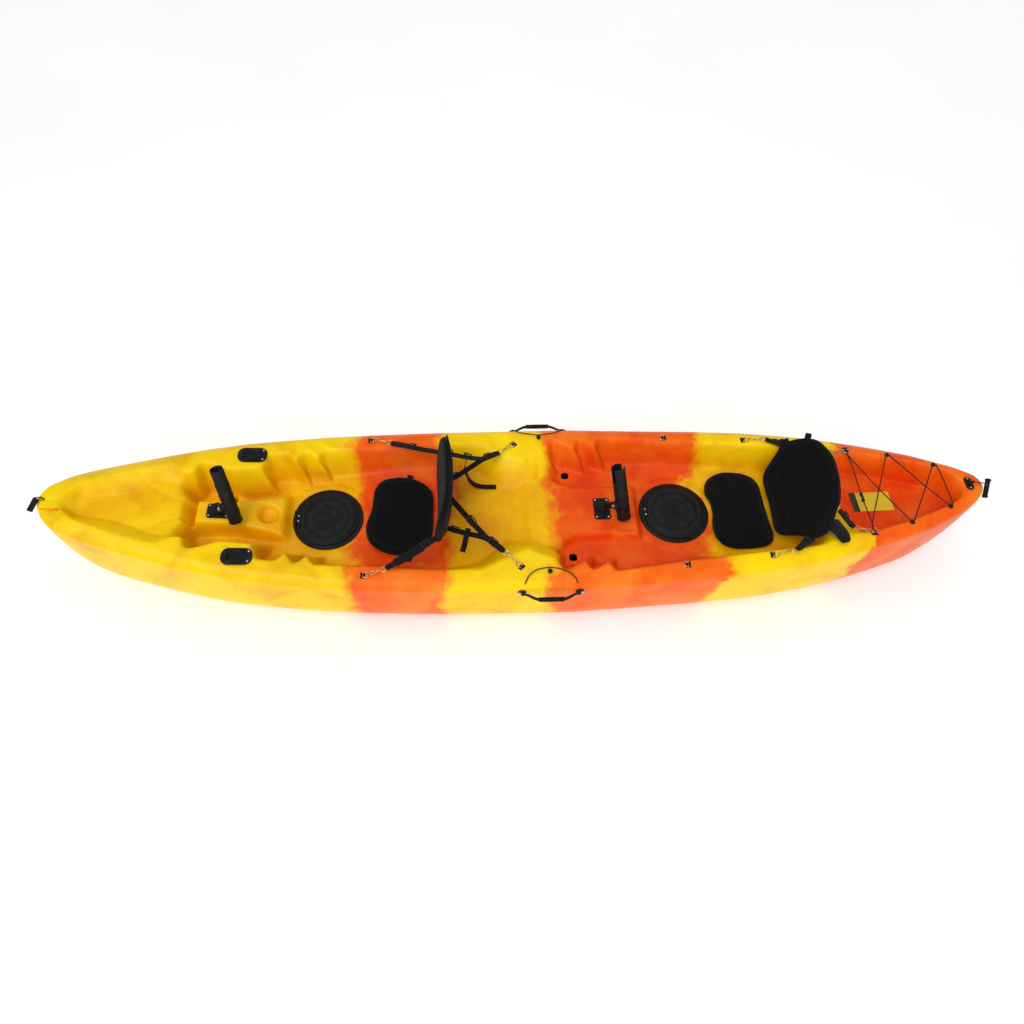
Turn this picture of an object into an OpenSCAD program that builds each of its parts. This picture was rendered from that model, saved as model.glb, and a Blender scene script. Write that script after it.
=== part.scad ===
/* [Hull] */
// Depth of the hull amidships, keel to gunwale
hull_depth = 345; // [335:1:355]
// Beam over the gunwales
beam = 768; // [756:2:780]
// Rise of the gunwale at the bow
bow_rise = 100; // [90:1:110]
// Rise of the gunwale at the stern
stern_rise = 70; // [60:1:80]
// Thinnest wall of the moulded shell
wall = 3.2; // [3:0.2:4]
/* [Deck fittings] */
// Clear radius through a hatch
hatch_clear_r = 112; // [106:1:113]
// Bore radius of the swivel rod holder tubes
rod_bore_r = 22.5; // [20:0.5:24]
// Bore radius of the flush rod holders
flush_bore_r = 20.5; // [19:0.5:22]
// Spacing of the side handle pads
handle_span = 222; // [200:2:230]
/* [Seats] */
// Half width of the seat cushions
cushion_half_w = 188; // [170:2:195]
// Thickness of the seat cushions
cushion_t = 38; // [30:1:40]
// Height of the seat backs
back_h = 290; // [260:5:300]
// Thickness of the seat backs
back_t = 34; // [26:1:36]
// Recline of the front seat back
front_tilt = 8; // [4:1:12]
// Recline of the rear seat back
rear_tilt = 50; // [46:1:54]
// Width of the seat webbing
web_w = 25; // [20:1:28]
/* [Hidden] */
floor_z = 240;
hatch_x = [-774, 664];
function sst(a, b, t) = let(u = min(max((t - a) / (b - a), 0), 1)) u * u * (3 - 2 * u);
function xf(x) = (x + 108) / 1850;
function z_rim(x) = hull_depth + (x < -108 ? bow_rise : stern_rise) * pow(xf(x), 2);
function half_beam(x) = beam / 2 * lookup(x, [[-1880, 0.09], [-1850, 0.22], [-1790, 0.33], [-1720, 0.405], [-1570, 0.53], [-1420, 0.645], [-1270, 0.745], [-1110, 0.828],
  [-940, 0.885], [-780, 0.93], [-610, 0.96], [-440, 0.98], [-270, 0.995], [0, 1], [240, 0.998], [430, 0.97], [600, 0.945], [770, 0.92],
  [940, 0.88], [1020, 0.855], [1190, 0.785], [1350, 0.69], [1500, 0.58], [1650, 0.45], [1790, 0.28], [1850, 0.17], [1880, 0.08]]);
function z_keel(x) = let(a = max(abs(x) - 1000, 0) / 800, s = max(abs(x) - 1560, 0) / 320) 30 * a * a + 310 * pow(s, 3);
function crease(x) = half_beam(x) - lookup(x, [[-1880, 14], [-1790, 44], [-1500, 44], [-1100, 34], [-600, 30], [900, 30], [1500, 34], [1790, 30], [1880, 12]]);
// inner edge of the gunwale, with the moulded foot steps
function inner_edge(x) = lookup(x, [[-1880, 6], [-1790, 12], [-1735, 72], [-1600, 125], [-1440, 178], [-1400, 182], [-1345, 150], [-1305, 150], [-1285, 203], [-1262, 200], [-1165, 167], [-1035, 183], [-1016, 248], [-948, 255],
  [-913, 213], [-869, 268], [-826, 228], [-797, 272], [-605, 278], [-348, 297], [-150, 300], [-50, 255], [40, 215], [60, 225], [143, 262], [174, 315], [258, 263], [283, 316], [346, 272], [373, 318], [581, 293],
  [800, 274], [1000, 256], [1180, 242], [1235, 215], [1310, 200], [1345, 202], [1530, 158], [1722, 88], [1776, 58], [1800, 20], [1880, 4]]);
// floor beside the centre, and the centre itself
function z_floor(x) = lookup(x, [[-1795, z_rim(-1795)], [-1735, 368], [-1400, 352], [-1345, 346], [-1290, 238], [-1000, 234], [-930, 240], [-330, 240], [-40, 238], [35, 264], [60, 278], [150, 278],
  [190, 238], [490, 238], [515, 240], [1100, 240], [1180, 262], [1235, 350], [1310, 356], [1345, 286], [1740, 306], [1800, z_rim(1800)]]);
function z_mid(x) = lookup(x, [[-1795, z_rim(-1795)], [-1735, 368], [-1400, 352], [-1345, 348], [-1290, 330], [-1180, 318], [-1000, 296], [-950, 284], [-930, 240], [-330, 240], [-40, 238], [35, 264], [60, 278], [150, 278], [220, 279],
  [250, 282], [495, 282], [515, 240], [1100, 240], [1180, 262], [1235, 350], [1310, 356], [1345, 286], [1740, 306], [1800, z_rim(1800)]]);
function mid_w(x) = lookup(x, [[-1880, 2], [-1790, 5], [-1735, 24], [-1440, 60], [-1330, 52], [-1140, 54], [-960, 88], [-900, 110], [-620, 110], [0, 130], [60, 150], [180, 146], [250, 108], [530, 112], [900, 110], [1190, 90], [1400, 70], [1722, 30], [1790, 12], [1880, 1]]);
stations = [-1880, -1864, -1840, -1795, -1765, -1735, -1600, -1480, -1400, -1345, -1305, -1285, -1262, -1220, -1165, -1100, -1035, -1016, -948, -930, -913, -869, -826, -797, -740, -605, -470, -330, -240, -150, -95, -40, 0, 35, 60, 100, 143, 174, 215, 258, 283, 315, 346, 373, 440, 495, 515, 590, 680, 780, 880, 980, 1060, 1100, 1180, 1235, 1270, 1310, 1345, 1400, 1465, 1530, 1620, 1722, 1760, 1800, 1840, 1864, 1880];
// one side of the deck, centre to gunwale: [y, z]
function wall_run(x) = min(inner_edge(x) * 0.25, 40);
function deck_half(x, t) = let(r = inner_edge(x), c = mid_w(x), run = wall_run(x), b = half_beam(x), cr = max(crease(x), r + 1), zr = z_rim(x), zf = z_floor(x), zm = z_mid(x), zs = zr - 30,
    base = max(r - run, c + 2))
  t ? [[0, zm], [min(c + 12, base - 1), zf], [base, zf], [r, zr], [cr, zr - 4], [b, zs]]
    : [[0, zm], [c, zm], [min(c + 12, base - 1), zf], [base, zf], [(base + r) / 2, (zf + zr) / 2], [r, zr], [cr, zr - 4], [(cr + b) / 2 + 4, zr - 11], [b, zs]];
// the bottom, gunwale to keel: [y, z]
function bottom_half(x, t) = let(b = half_beam(x), zs = z_rim(x) - 30, zk = z_keel(x), d = zs - zk, f = max(0, 1 - pow(abs(x) / 1900, 3)), y0 = 170 * f * b / 384, g = 12 * f)
  t ? [[b - 5, zk + d * 0.42], [y0 + (b - y0) * 0.9, zk + d * 0.22], [y0 + (b - y0) * 0.66, zk + d * 0.06], [y0, zk], [y0 * 0.5, zk + g], [0, zk]]
    : [[b - 1, zk + d * 0.7], [b - 5, zk + d * 0.42], [y0 + (b - y0) * 0.9, zk + d * 0.22], [y0 + (b - y0) * 0.66, zk + d * 0.06], [y0, zk], [y0 * 0.5, zk + g], [0, zk]];
function rev(v) = [for (i = [len(v) - 1:-1:0]) v[i]];
function mirror_y(v) = [for (p = v) [-p[0], p[1]]];
function ring(h, b) = let(n = len(h), m = len(b)) concat(h, b, [for (i = [m - 2:-1:0]) [-b[i][0], b[i][1]]], [for (i = [n - 1:-1:1]) [-h[i][0], h[i][1]]]);
function outer_ring(x) = ring(deck_half(x, false), bottom_half(x, false));
function loft_points(rings, xs) = concat([for (i = [0:len(xs) - 1]) for (p = rings[i]) [xs[i], p[0], p[1]]], [[xs[0], 0, (rings[0][0][1] + rings[0][len(rings[0]) / 2][1]) / 2], [xs[len(xs) - 1], 0, (rings[len(xs) - 1][0][1] + rings[len(xs) - 1][len(rings[0]) / 2][1]) / 2]]);
function loft_faces(n, m) = concat([for (i = [0:n - 2]) for (j = [0:m - 1]) for (k = [0, 1]) let(a = i * m + j, b = i * m + (j + 1) % m, c = a + m, d = b + m) k == 0 ? [a, b, c] : [b, d, c]],
  [for (j = [0:m - 1]) [n * m, (j + 1) % m, j]], [for (j = [0:m - 1]) [n * m + 1, (n - 1) * m + j, (n - 1) * m + (j + 1) % m]]);
module loft(xs, rings) { polyhedron(points = loft_points(rings, xs), faces = loft_faces(len(xs), len(rings[0])), convexity = 10); }
// the cavity: the same stations, moved in by the wall
n_st = len(stations);
function raw_in(x) = ring(deck_half(x, true), bottom_half(x, true));
function widest(x, k) = max([for (e = [-9, -4, 0, 4, 9]) deck_half(x + e, true)[k][0]]);
function inset_half(x) = let(h = deck_half(x, true)) [[h[0][0], h[0][1]], [h[1][0], h[1][1]], [h[2][0] + 2, h[2][1]], [widest(x, 3) + wall + 1, h[3][1]], [widest(x, 4) + wall * 0.5, h[4][1]], [h[5][0] - wall, h[5][1]]];
function low(i, k) = let(x = stations[i], z = deck_half(x, true)[k][1], za = deck_half(stations[i - 1], true)[k][1], zb = deck_half(stations[i + 1], true)[k][1], da = x - stations[i - 1], db = stations[i + 1] - x, w = wall + 2)
  min(z, z + (za - z) * min(1, w / da), z + (zb - z) * min(1, w / db)) - wall;
function in_deck(i) = let(h = inset_half(stations[i])) [for (k = [0:5]) [h[k][0], low(i, k)]];
function in_bottom(i) = let(b = bottom_half(stations[i], true)) [[b[0][0] - wall, b[0][1]], [b[1][0] - wall * 0.8, b[1][1] + wall * 0.6], [b[2][0] - wall * 0.4, b[2][1] + wall], [b[3][0], b[3][1] + wall], [b[4][0], b[4][1] + wall], [0, b[5][1] + wall]];
in_first = 4;
in_last = n_st - 5;
in_x = [for (i = [in_first:in_last]) stations[i]];
in_rings = [for (i = [in_first:in_last]) ring(in_deck(i), in_bottom(i))];

module hull() {
  color([0.95, 0.6, 0.05])
  resize([0, 0, 0]) difference() {
    union() {
      difference() {
        loft(stations, [for (x = stations) outer_ring(x)]);
        loft(in_x, in_rings);
      }
      // moulded scupper tubes and the cup recess
      for (s = [-1, 1]) for (p = scuppers) translate([p[0], s * p[1], 4]) cylinder(r = 21, h = 233, $fn = 32);
      translate([-1009, 0, 262]) cylinder(r = 44, h = 34, $fn = 40);
    }
    for (x = hatch_x) translate([x, 0, 200]) cylinder(r = 119, h = 60, $fn = 64);
    for (s = [-1, 1]) for (p = scuppers) translate([p[0], s * p[1], -10]) cylinder(r = 17, h = 300, $fn = 32);
    translate([-1009, 0, 267]) cylinder(r = 40, h = 60, $fn = 40);
    for (s = [-1, 1]) pod_place(s) rotate([0, 25, 0]) translate([0, 0, -40]) cylinder(r = 27, h = 120, center = true, $fn = 40);
    translate([-1853, 0, 200]) cylinder(r = 7, h = 300, $fn = 32);
  }
}
scuppers = [[-1177, 108], [225, 200]];
function slope(x) = atan((x < -108 ? bow_rise : stern_rise) * 2 * (x + 108) / 1850 / 1850);
// fittings that sit flat on the gunwale at (x, y)
module on_rim(x, y, up = 0.4) { translate([x, y, z_rim(x) + up]) rotate([0, -slope(x), 0]) children(); }
module pod_place(s) { on_rim(-1086, s * 240, 0.4) children(); }

// ---- hatches ----
module hatch_rim(x) {
  color([0.08, 0.08, 0.08]) translate([x, 0, floor_z + 0.4]) {
    rotate_extrude($fn = 128) translate([hatch_clear_r, 0]) union() {
      translate([0, -14]) square([4.5, 22]);
      square([33, 5]);
    }
    // hinge ears on the ring
    for (s = [-1, 1]) difference() {
      union() {
        translate([-134, s * 29, 14]) rotate([90, 0, 0]) cylinder(r = 5.5, h = 14, center = true, $fn = 48);
        translate([-139.5, s * 29 - 7, 4.9]) cube([11, 14, 9.1]);
      }
      translate([-134, s * 29, 14]) rotate([90, 0, 0]) cylinder(r = 3.06, h = 16, center = true, $fn = 48);
    }
  }
}
module hatch_gasket(x) { color([0.2, 0.2, 0.2]) translate([x, 0, floor_z + 5.7]) rotate_extrude($fn = 128) translate([hatch_clear_r + 6, 0]) square([8, 3.6]); }
module hatch_lid(x) {
  color([0.1, 0.1, 0.1]) translate([x, 0, floor_z + 9.6]) difference() {
    union() {
      cylinder(r = 127, h = 5, $fn = 128);
      cylinder(r1 = 124, r2 = 112, h = 12, $fn = 128);
      translate([-134, 0, 4.8]) rotate([90, 0, 0]) cylinder(r = 5, h = 42, center = true, $fn = 48);
      translate([-134, -21, 2]) cube([16, 42, 3]);
    }
    translate([0, 0, 9]) rotate_extrude($fn = 128) translate([84, 0]) square([10, 10]);
    translate([-134, 0, 4.8]) rotate([90, 0, 0]) cylinder(r = 3.06, h = 50, center = true, $fn = 48);
  }
}
module hatch_pin(x) { color([0.75, 0.75, 0.75]) translate([x - 134, 0, floor_z + 14.4]) rotate([90, 0, 0]) cylinder(r = 3, h = 72, center = true, $fn = 48); }
module front_hatch_rim() { hatch_rim(hatch_x[0]); }
module rear_hatch_rim() { hatch_rim(hatch_x[1]); }
module front_hatch_gasket() { hatch_gasket(hatch_x[0]); }
module rear_hatch_gasket() { hatch_gasket(hatch_x[1]); }
module front_hatch_lid() { hatch_lid(hatch_x[0]); }
module rear_hatch_lid() { hatch_lid(hatch_x[1]); }
module front_hatch_pin() { hatch_pin(hatch_x[0]); }
module rear_hatch_pin() { hatch_pin(hatch_x[1]); }
module hatch_screws() { color([0.8, 0.8, 0.8]) for (x = hatch_x) for (k = [0:7]) rotate_at(x, 22.5 + 45 * k) translate([134.5, 0, floor_z + 5.7]) cylinder(r = 4, h = 2, $fn = 32); }
module rotate_at(x, w) { translate([x, 0, 0]) rotate([0, 0, w]) children(); }

// ---- flush rod holders on the gunwales ----
module flush_holder(s) {
  color([0.09, 0.09, 0.09]) pod_place(s) difference() {
    union() {
      linear_extrude(4) pod_outline(60, 36);
      rotate([0, 25, 0]) translate([0, 0, -165]) cylinder(r = flush_bore_r + 3, h = 168, $fn = 64);
    }
    rotate([0, 25, 0]) translate([0, 0, -162]) cylinder(r = flush_bore_r, h = 200, $fn = 64);
    translate([-100, -100, 4]) cube(200);
    for (k = [-1, 1]) translate([44, k * 22, -1]) cylinder(r = 2.6, h = 8, $fn = 32);
  }
}
module pod_outline(a, b) { union() { square([2 * a - 2 * 30, 2 * b], center = true); square([2 * a, 2 * b - 2 * 30], center = true); for (i = [-1, 1]) for (j = [-1, 1]) translate([i * (a - 30), j * (b - 30)]) circle(r = 30, $fn = 64); } }
module flush_cap(s) {
  color([0.12, 0.12, 0.12]) pod_place(s) difference() {
    union() {
      translate([3, 0, 4.6]) cylinder(r = 30, h = 5, $fn = 96);
      translate([3, 0, 4.6]) cylinder(r = 24, h = 8, $fn = 96);
      translate([-36, -8, 5]) cube([16, 16, 4.5]);
      translate([-40, 0, 9]) rotate([90, 0, 0]) cylinder(r = 4.4, h = 16, center = true, $fn = 40);
    }
    translate([-40, 0, 9]) rotate([90, 0, 0]) cylinder(r = 2.06, h = 30, center = true, $fn = 40);
  }
}
module flush_hinge(s) {
  color([0.12, 0.12, 0.12]) pod_place(s) union() {
    for (k = [-1, 1]) translate([-44.5, k * 12 - 3, 4.3]) cube([9, 6, 8.5]);
    translate([-40, 0, 9]) rotate([90, 0, 0]) cylinder(r = 2, h = 29, center = true, $fn = 40);
  }
}
module flush_holder_port() { flush_holder(-1); }
module flush_holder_starboard() { flush_holder(1); }
module flush_cap_port() { flush_cap(-1); }
module flush_cap_starboard() { flush_cap(1); }
module flush_hinges() { flush_hinge(-1); flush_hinge(1); }
module flush_screws() { color([0.85, 0.85, 0.85]) for (s = [-1, 1]) pod_place(s) for (k = [-1, 1]) translate([44, k * 22, 4.3]) cylinder(r = 4.2, h = 2, $fn = 32); }

// ---- swivel rod holders on the consoles ----
rod_at = [[-1205, 321.4], [357, 282.4]];
tube_c = [64.6, -28.5, 100];
tube_az = 29.9;
tube_tilt = 23.6;
module rod_place(k) { translate([rod_at[k][0], 0, rod_at[k][1]]) rotate([0, k == 0 ? 5.5 : 0, 0]) children(); }
base_half = [[44, 33], [33, 50]];
module plate_outline(a, b, r) { union() { square([2 * a - 2 * r, 2 * b], center = true); square([2 * a, 2 * b - 2 * r], center = true); for (i = [-1, 1]) for (j = [-1, 1]) translate([i * (a - r), j * (b - r)]) circle(r = r, $fn = 48); } }
module rod_base(k) {
  color([0.07, 0.07, 0.07]) rod_place(k) difference() {
    union() { linear_extrude(6) plate_outline(base_half[k][0], base_half[k][1], 9); cylinder(r = 25, h = 14, $fn = 96); translate([0, 0, 14]) cylinder(r = 9, h = 12, $fn = 48); }
    for (i = [-1, 1]) for (j = [-1, 1]) translate([i * (base_half[k][0] - 9), j * (base_half[k][1] - 9), -1]) cylinder(r = 2.6, h = 9, $fn = 32);
  }
}
module rod_base_screws() { color([0.85, 0.85, 0.85]) for (k = [0, 1]) rod_place(k) for (i = [-1, 1]) for (j = [-1, 1]) translate([i * (base_half[k][0] - 9), j * (base_half[k][1] - 9), 6.3]) cylinder(r = 4.2, h = 2, $fn = 32); }
// swivel arm: turns on the base post and carries the tilt disc
module rod_arm(k) {
  color([0.08, 0.08, 0.08]) rod_place(k) difference() {
    union() {
      translate([0, 0, 14.3]) cylinder(r = 22, h = 18, $fn = 64);
      translate([0, 0, 14.3]) cylinder(r = 14, h = 26, $fn = 64);
      translate(tube_c) rotate([0, 0, tube_az]) translate([-40.5, 0, 0]) rotate([90, 0, 90]) linear_extrude(9) polygon([[68, -66], [46, -66], [-12, -12], [-14, 2], [-6, 14], [6, 14], [14, 4]]);
      translate(tube_c) rotate([0, 0, tube_az]) translate([-41, 0, 0]) rotate([0, 90, 0]) cylinder(r = 17, h = 10, $fn = 64);
    }
    translate([0, 0, 13]) cylinder(r = 9.05, h = 14, $fn = 48);
  }
}
module rod_tube(k) {
  color([0.06, 0.06, 0.06]) rod_place(k) translate(tube_c) rotate([0, 0, tube_az]) rotate([-tube_tilt, 0, 0]) difference() {
    union() {
      translate([0, 0, -82]) cylinder(r = rod_bore_r + 4.5, h = 250, $fn = 96);
      translate([-30.6, 0, 0]) rotate([0, 90, 0]) cylinder(r = 17, h = 12, $fn = 64);
    }
    translate([0, 0, -77]) cylinder(r = rod_bore_r, h = 260, $fn = 96);
    translate([0, 0, -83]) cylinder(r = 6, h = 10, $fn = 32);
    translate([-40, -10, 108]) cube([80, 20, 80]);
  }
}
module rod_bolt(k) { color([0.8, 0.8, 0.8]) rod_place(k) translate(tube_c) rotate([0, 0, tube_az]) translate([-49, 0, 0]) rotate([0, 90, 0]) cylinder(r = 8, h = 7.7, $fn = 48); }
module front_rod_base() { rod_base(0); }
module rear_rod_base() { rod_base(1); }
module front_rod_arm() { rod_arm(0); }
module rear_rod_arm() { rod_arm(1); }
module front_rod_tube() { rod_tube(0); }
module rear_rod_tube() { rod_tube(1); }
module front_rod_bolt() { rod_bolt(0); }
module rear_rod_bolt() { rod_bolt(1); }

// ---- pad eyes and rings ----
pads = [[-603, 322], [5, 296], [978, 278], [1390, 203]];
free_pad = [647, 306];
function eye_turn(i, s) = i == 3 ? 90 : i == 1 ? s * 42 : 0;
module pad_eye(x, y, a = 0) {
  on_rim(x, y) rotate([0, 0, a]) union() {
    translate([-9, -13, 0]) cube([18, 26, 1.6]);
    translate([0, 0, 1.4]) rotate([90, 0, 0]) rotate_extrude(angle = 180, $fn = 48) translate([6.4, 0]) circle(r = 1.6, $fn = 24);
  }
}
module pad_eyes() { color([0.06, 0.06, 0.06]) for (s = [-1, 1]) { for (i = [0:3]) pad_eye(pads[i][0], s * pads[i][1], eye_turn(i, s)); pad_eye(free_pad[0], s * free_pad[1]); } }
module pad_eye_rivets() { color([0.8, 0.8, 0.8]) for (s = [-1, 1]) for (i = [0:4]) let(p = i < 4 ? pads[i] : free_pad) on_rim(p[0], s * p[1], 2.3) rotate([0, 0, eye_turn(i, s)]) for (k = [-1, 1]) translate([0, k * 10, 0]) cylinder(r = 2.4, h = 0.7, $fn = 24); }
// ring through the loop, laid towards (dx, dy)
module ring_at(x, y, a) { on_rim(x, y, 4.8) rotate([0, 0, a]) translate([0, 11.2, 0]) rotate_extrude($fn = 64) translate([11.2, 0]) circle(r = 1.7, $fn = 24); }
module free_ring_port() { color([0.8, 0.75, 0.6]) ring_at(free_pad[0], -free_pad[1], 90); }
module free_ring_starboard() { color([0.8, 0.75, 0.6]) ring_at(free_pad[0], free_pad[1], 90); }
module seat_rings() { color([0.8, 0.75, 0.6]) for (s = [-1, 1]) { ring_at(pads[0][0], s * pads[0][1], -90); ring_at(pads[1][0], s * pads[1][1], 90 + s * 42); ring_at(pads[2][0], s * pads[2][1], -90); ring_at(pads[3][0], s * pads[3][1], s > 0 ? 180 : 0); } }

// ---- seats ----
module cushion(x0, x1) {
  color([0.1, 0.1, 0.1]) translate([0, 0, floor_z + 0.4]) linear_extrude(cushion_t) union() {
    translate([x0 + 50, -cushion_half_w]) square([x1 - x0 - 90, 2 * cushion_half_w]);
    translate([x0, -cushion_half_w + 50]) square([x1 - x0, 2 * cushion_half_w - 100]);
    for (s = [-1, 1]) { translate([x0 + 50, s * (cushion_half_w - 50)]) circle(r = 50, $fn = 64); translate([x1 - 40, s * (cushion_half_w - 40)]) circle(r = 40, $fn = 64); }
  }
}
module front_seat_cushion() { cushion(-618, -336); }
module rear_seat_cushion() { cushion(815, 1030); }
front_pivot = [-305, 0, 285];
rear_pivot = [1058, 0, 285];
module seat_back(p, tilt) {
  color([0.12, 0.12, 0.12]) translate(p) rotate([0, tilt, 0]) translate([-back_t / 2, 0, 3]) rotate([90, 0, 90]) linear_extrude(back_t)
    polygon([[-140, 0], [140, 0], [190, 60], [212, 120], [216, 200], [200, back_h - 40], [160, back_h - 8], [100, back_h], [-100, back_h], [-160, back_h - 8], [-200, back_h - 40], [-216, 200], [-212, 120], [-190, 60]]);
}
module front_seat_back() { seat_back(front_pivot, front_tilt); }
module rear_seat_back() { seat_back(rear_pivot, rear_tilt); }
// a straight run of webbing between two points
module web(a, b, w = web_w, t = 2.4) { d = b - a; len = norm(d);
  translate(a) rotate([0, 0, atan2(d[1], d[0])]) rotate([0, -asin(d[2] / len), 0]) translate([0, -w / 2, -t / 2]) cube([len, w, t]); }
function my(p, s) = [p[0], s * p[1], p[2]];
fs_a = [-508, 297, 365];
fs_b = [-318, 232, 414];
fr_a = [-70, 228, 368];
fr_b = [-252, 176, 442];
rs_a = [1076, 263, 389];
rs_b = [1136, 238, 394];
rr_a = [1304, 176, 403];
rr_b = [1274, 152, 426];
module front_seat_straps() { color([0.05, 0.05, 0.05]) for (s = [-1, 1]) { web(my(fs_a, s), my(fs_b, s)); web(my(fr_a, s), my(fr_b, s)); } }
module rear_seat_straps() { color([0.05, 0.05, 0.05]) for (s = [-1, 1]) { web(my(rs_a, s), my(rs_b, s)); web(my(rr_a, s), my(rr_b, s)); } }
// snap hook: a flat link with rounded ends
module hook(p, q) { d = q - p; len = norm(d);
  translate(p) rotate([0, 0, atan2(d[1], d[0])]) rotate([0, -asin(d[2] / len), 0]) union() {
    for (s = [-1, 1]) translate([0, s * 6, 0]) rotate([0, 90, 0]) cylinder(r = 2, h = len, $fn = 24);
    rotate([0, 0, 90]) rotate_extrude(angle = 180, $fn = 48) translate([6, 0]) circle(r = 2, $fn = 24);
    translate([len, 0, 0]) rotate([0, 0, -90]) rotate_extrude(angle = 180, $fn = 48) translate([6, 0]) circle(r = 2, $fn = 24);
  } }
module front_seat_hooks() { color([0.8, 0.72, 0.5]) for (s = [-1, 1]) { hook(my([-569, 318, 362], s), my([-520, 301, 364], s)); hook(my([-20, 273, 361], s), my([-56, 241, 366], s)); } }
module rear_seat_hooks() { color([0.8, 0.72, 0.5]) for (s = [-1, 1]) { hook(my([1012, 277, 379.5], s), my([1062, 267, 387], s)); hook(my([1366, 190, 396.5], s), my([1317, 181, 401.5], s)); } }
// ladder locks ride on top of the webbing
module lock(a, b, u) { d = b - a; len = norm(d);
  translate(a) rotate([0, 0, atan2(d[1], d[0])]) rotate([0, -asin(d[2] / len), 0]) translate([u * len, 0, 1.6]) difference() {
    translate([-17, -16, 0]) cube([34, 32, 5]);
    for (k = [-8, 6]) translate([k, -11, -1]) cube([4, 22, 8]);
  } }
module front_seat_buckles() { color([0.04, 0.04, 0.04]) for (s = [-1, 1]) { lock(my(fs_a, s), my(fs_b, s), 0.4); lock(my(fr_a, s), my(fr_b, s), 0.35); } }
module rear_seat_buckles() { color([0.04, 0.04, 0.04]) for (s = [-1, 1]) lock(my(rs_a, s), my(rs_b, s), 0.5); }

// ---- carry handles, paddle keepers ----
handle_x = 115;
handle_z = 308;
handle_y = beam / 2 + 8;
module handle_pads() { color([0.06, 0.06, 0.06]) for (s = [-1, 1]) for (k = [-1, 1]) translate([handle_x + k * handle_span / 2, s * (beam / 2 + 0.6), handle_z]) rotate([-s * 90, 0, 0]) difference() { union() { cylinder(r = 15, h = 5, $fn = 64); translate([k < 0 ? -4 : -16, -9, 0]) cube([20, 18, 14]); } translate([-30, 0, 9.4]) rotate([0, 90, 0]) cylinder(r = 3.56, h = 60, $fn = 32); } }
module handle_screws() { color([0.85, 0.85, 0.85]) for (s = [-1, 1]) for (k = [-1, 1]) translate([handle_x + k * (handle_span / 2 + 9), s * (beam / 2 + 6), handle_z]) rotate([-s * 90, 0, 0]) cylinder(r = 4, h = 2, $fn = 32); }
// grip: two trunnions on one line and a bow between them
module grip(s) { hs = handle_span / 2; 
  color([0.05, 0.05, 0.05]) translate([handle_x, s * (beam / 2 + 10), handle_z]) union() {
    for (k = [-1, 1]) translate([k > 0 ? hs - 24 : -hs - 4, 0, 0]) rotate([0, 90, 0]) cylinder(r = 3.5, h = 28, $fn = 32);
    for (k = [-1, 1]) translate([k * (hs - 26), 0, 0]) rotate([0, 0, k * s * -32 + (k > 0 ? 180 : 0)]) rotate([0, 90, 0]) cylinder(r = 6, h = 45, $fn = 48);
    translate([-(hs - 63), s * 24, 0]) rotate([0, 90, 0]) cylinder(r = 10, h = 2 * (hs - 63), $fn = 64);
  } }
module side_handle_port() { grip(-1); }
module side_handle_starboard() { grip(1); }
module keeper_knobs() { color([0.05, 0.05, 0.05]) for (s = [-1, 1]) on_rim(112, s * 322) union() { cylinder(r = 5, h = 12, $fn = 40); translate([0, 0, 9]) cylinder(r = 9, h = 5, $fn = 48); } }
// swept round cord along hand-chosen points
function vdir(p, i) = let(a = p[max(i - 1, 0)], b = p[min(i + 1, len(p) - 1)], d = b - a) d / norm(d);
function side_of(t, ref) = let(c = ref == undef ? cross(t, abs(t[2]) > 0.8 ? [1, 0, 0] : [0, 0, 1]) : ref - (ref * t) * t) c / norm(c);
function cord_ring(p, i, r, n, ref) = let(t = vdir(p, i), u = side_of(t, ref), v = cross(t, u)) [for (k = [0:n - 1]) p[i] + r * (cos(360 * k / n) * u - sin(360 * k / n) * v)];
module cord(p, r, n = 8, ref = undef) { m = len(p);
  polyhedron(points = concat([for (i = [0:m - 1]) for (q = cord_ring(p, i, r, n, ref)) q], [p[0], p[m - 1]]),
    faces = concat([for (i = [0:m - 2]) for (j = [0:n - 1]) for (k = [0, 1]) let(a = i * n + j, b = i * n + (j + 1) % n) k == 0 ? [a, b, a + n] : [b, b + n, a + n]],
      [for (j = [0:n - 1]) [m * n, (j + 1) % n, j]], [for (j = [0:n - 1]) [m * n + 1, (m - 1) * n + j, (m - 1) * n + (j + 1) % n]]), convexity = 6); }
keeper_port = [[14, -370, 344], [20, -356, 352], [34, -334, 354], [62, -314, 355], [98, -306, 355], [124, -306, 355], [158, -314, 355], [188, -328, 354], [208, -350, 352], [216, -370, 344]];
keeper_starboard = [[14, 370, 344], [22, 358, 352], [44, 348, 354], [80, 340, 355], [112, 336, 355], [146, 340, 355], [182, 348, 354], [208, 358, 352], [216, 370, 344]];
module paddle_keeper_port() { color([0.03, 0.03, 0.03]) cord(keeper_port, 2.4); }
module paddle_keeper_starboard() { color([0.03, 0.03, 0.03]) cord(keeper_starboard, 2.4); }

// ---- bow ----
bow_run = [[-1853, 0, 304], [-1853, 0, 264], [-1858, 0, 257], [-1866, 0, 262], [-1878, 0, 300], [-1888, 0, 345], [-1889, 0, 400], [-1888, 0, 436], [-1882, 0, 444], [-1870, 0, 447], [-1858, 0, 445], [-1853, 0, 438], [-1853, 0, 312]];
module bow_loop() { color([0.05, 0.05, 0.05]) cord(bow_run, 2.4, 8, [0, 1, 0]); }
module bow_strap() { color([0.05, 0.05, 0.05]) web([-1875, -6, 444.5], [-1893, -54, 432], 25, 3); }

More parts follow.
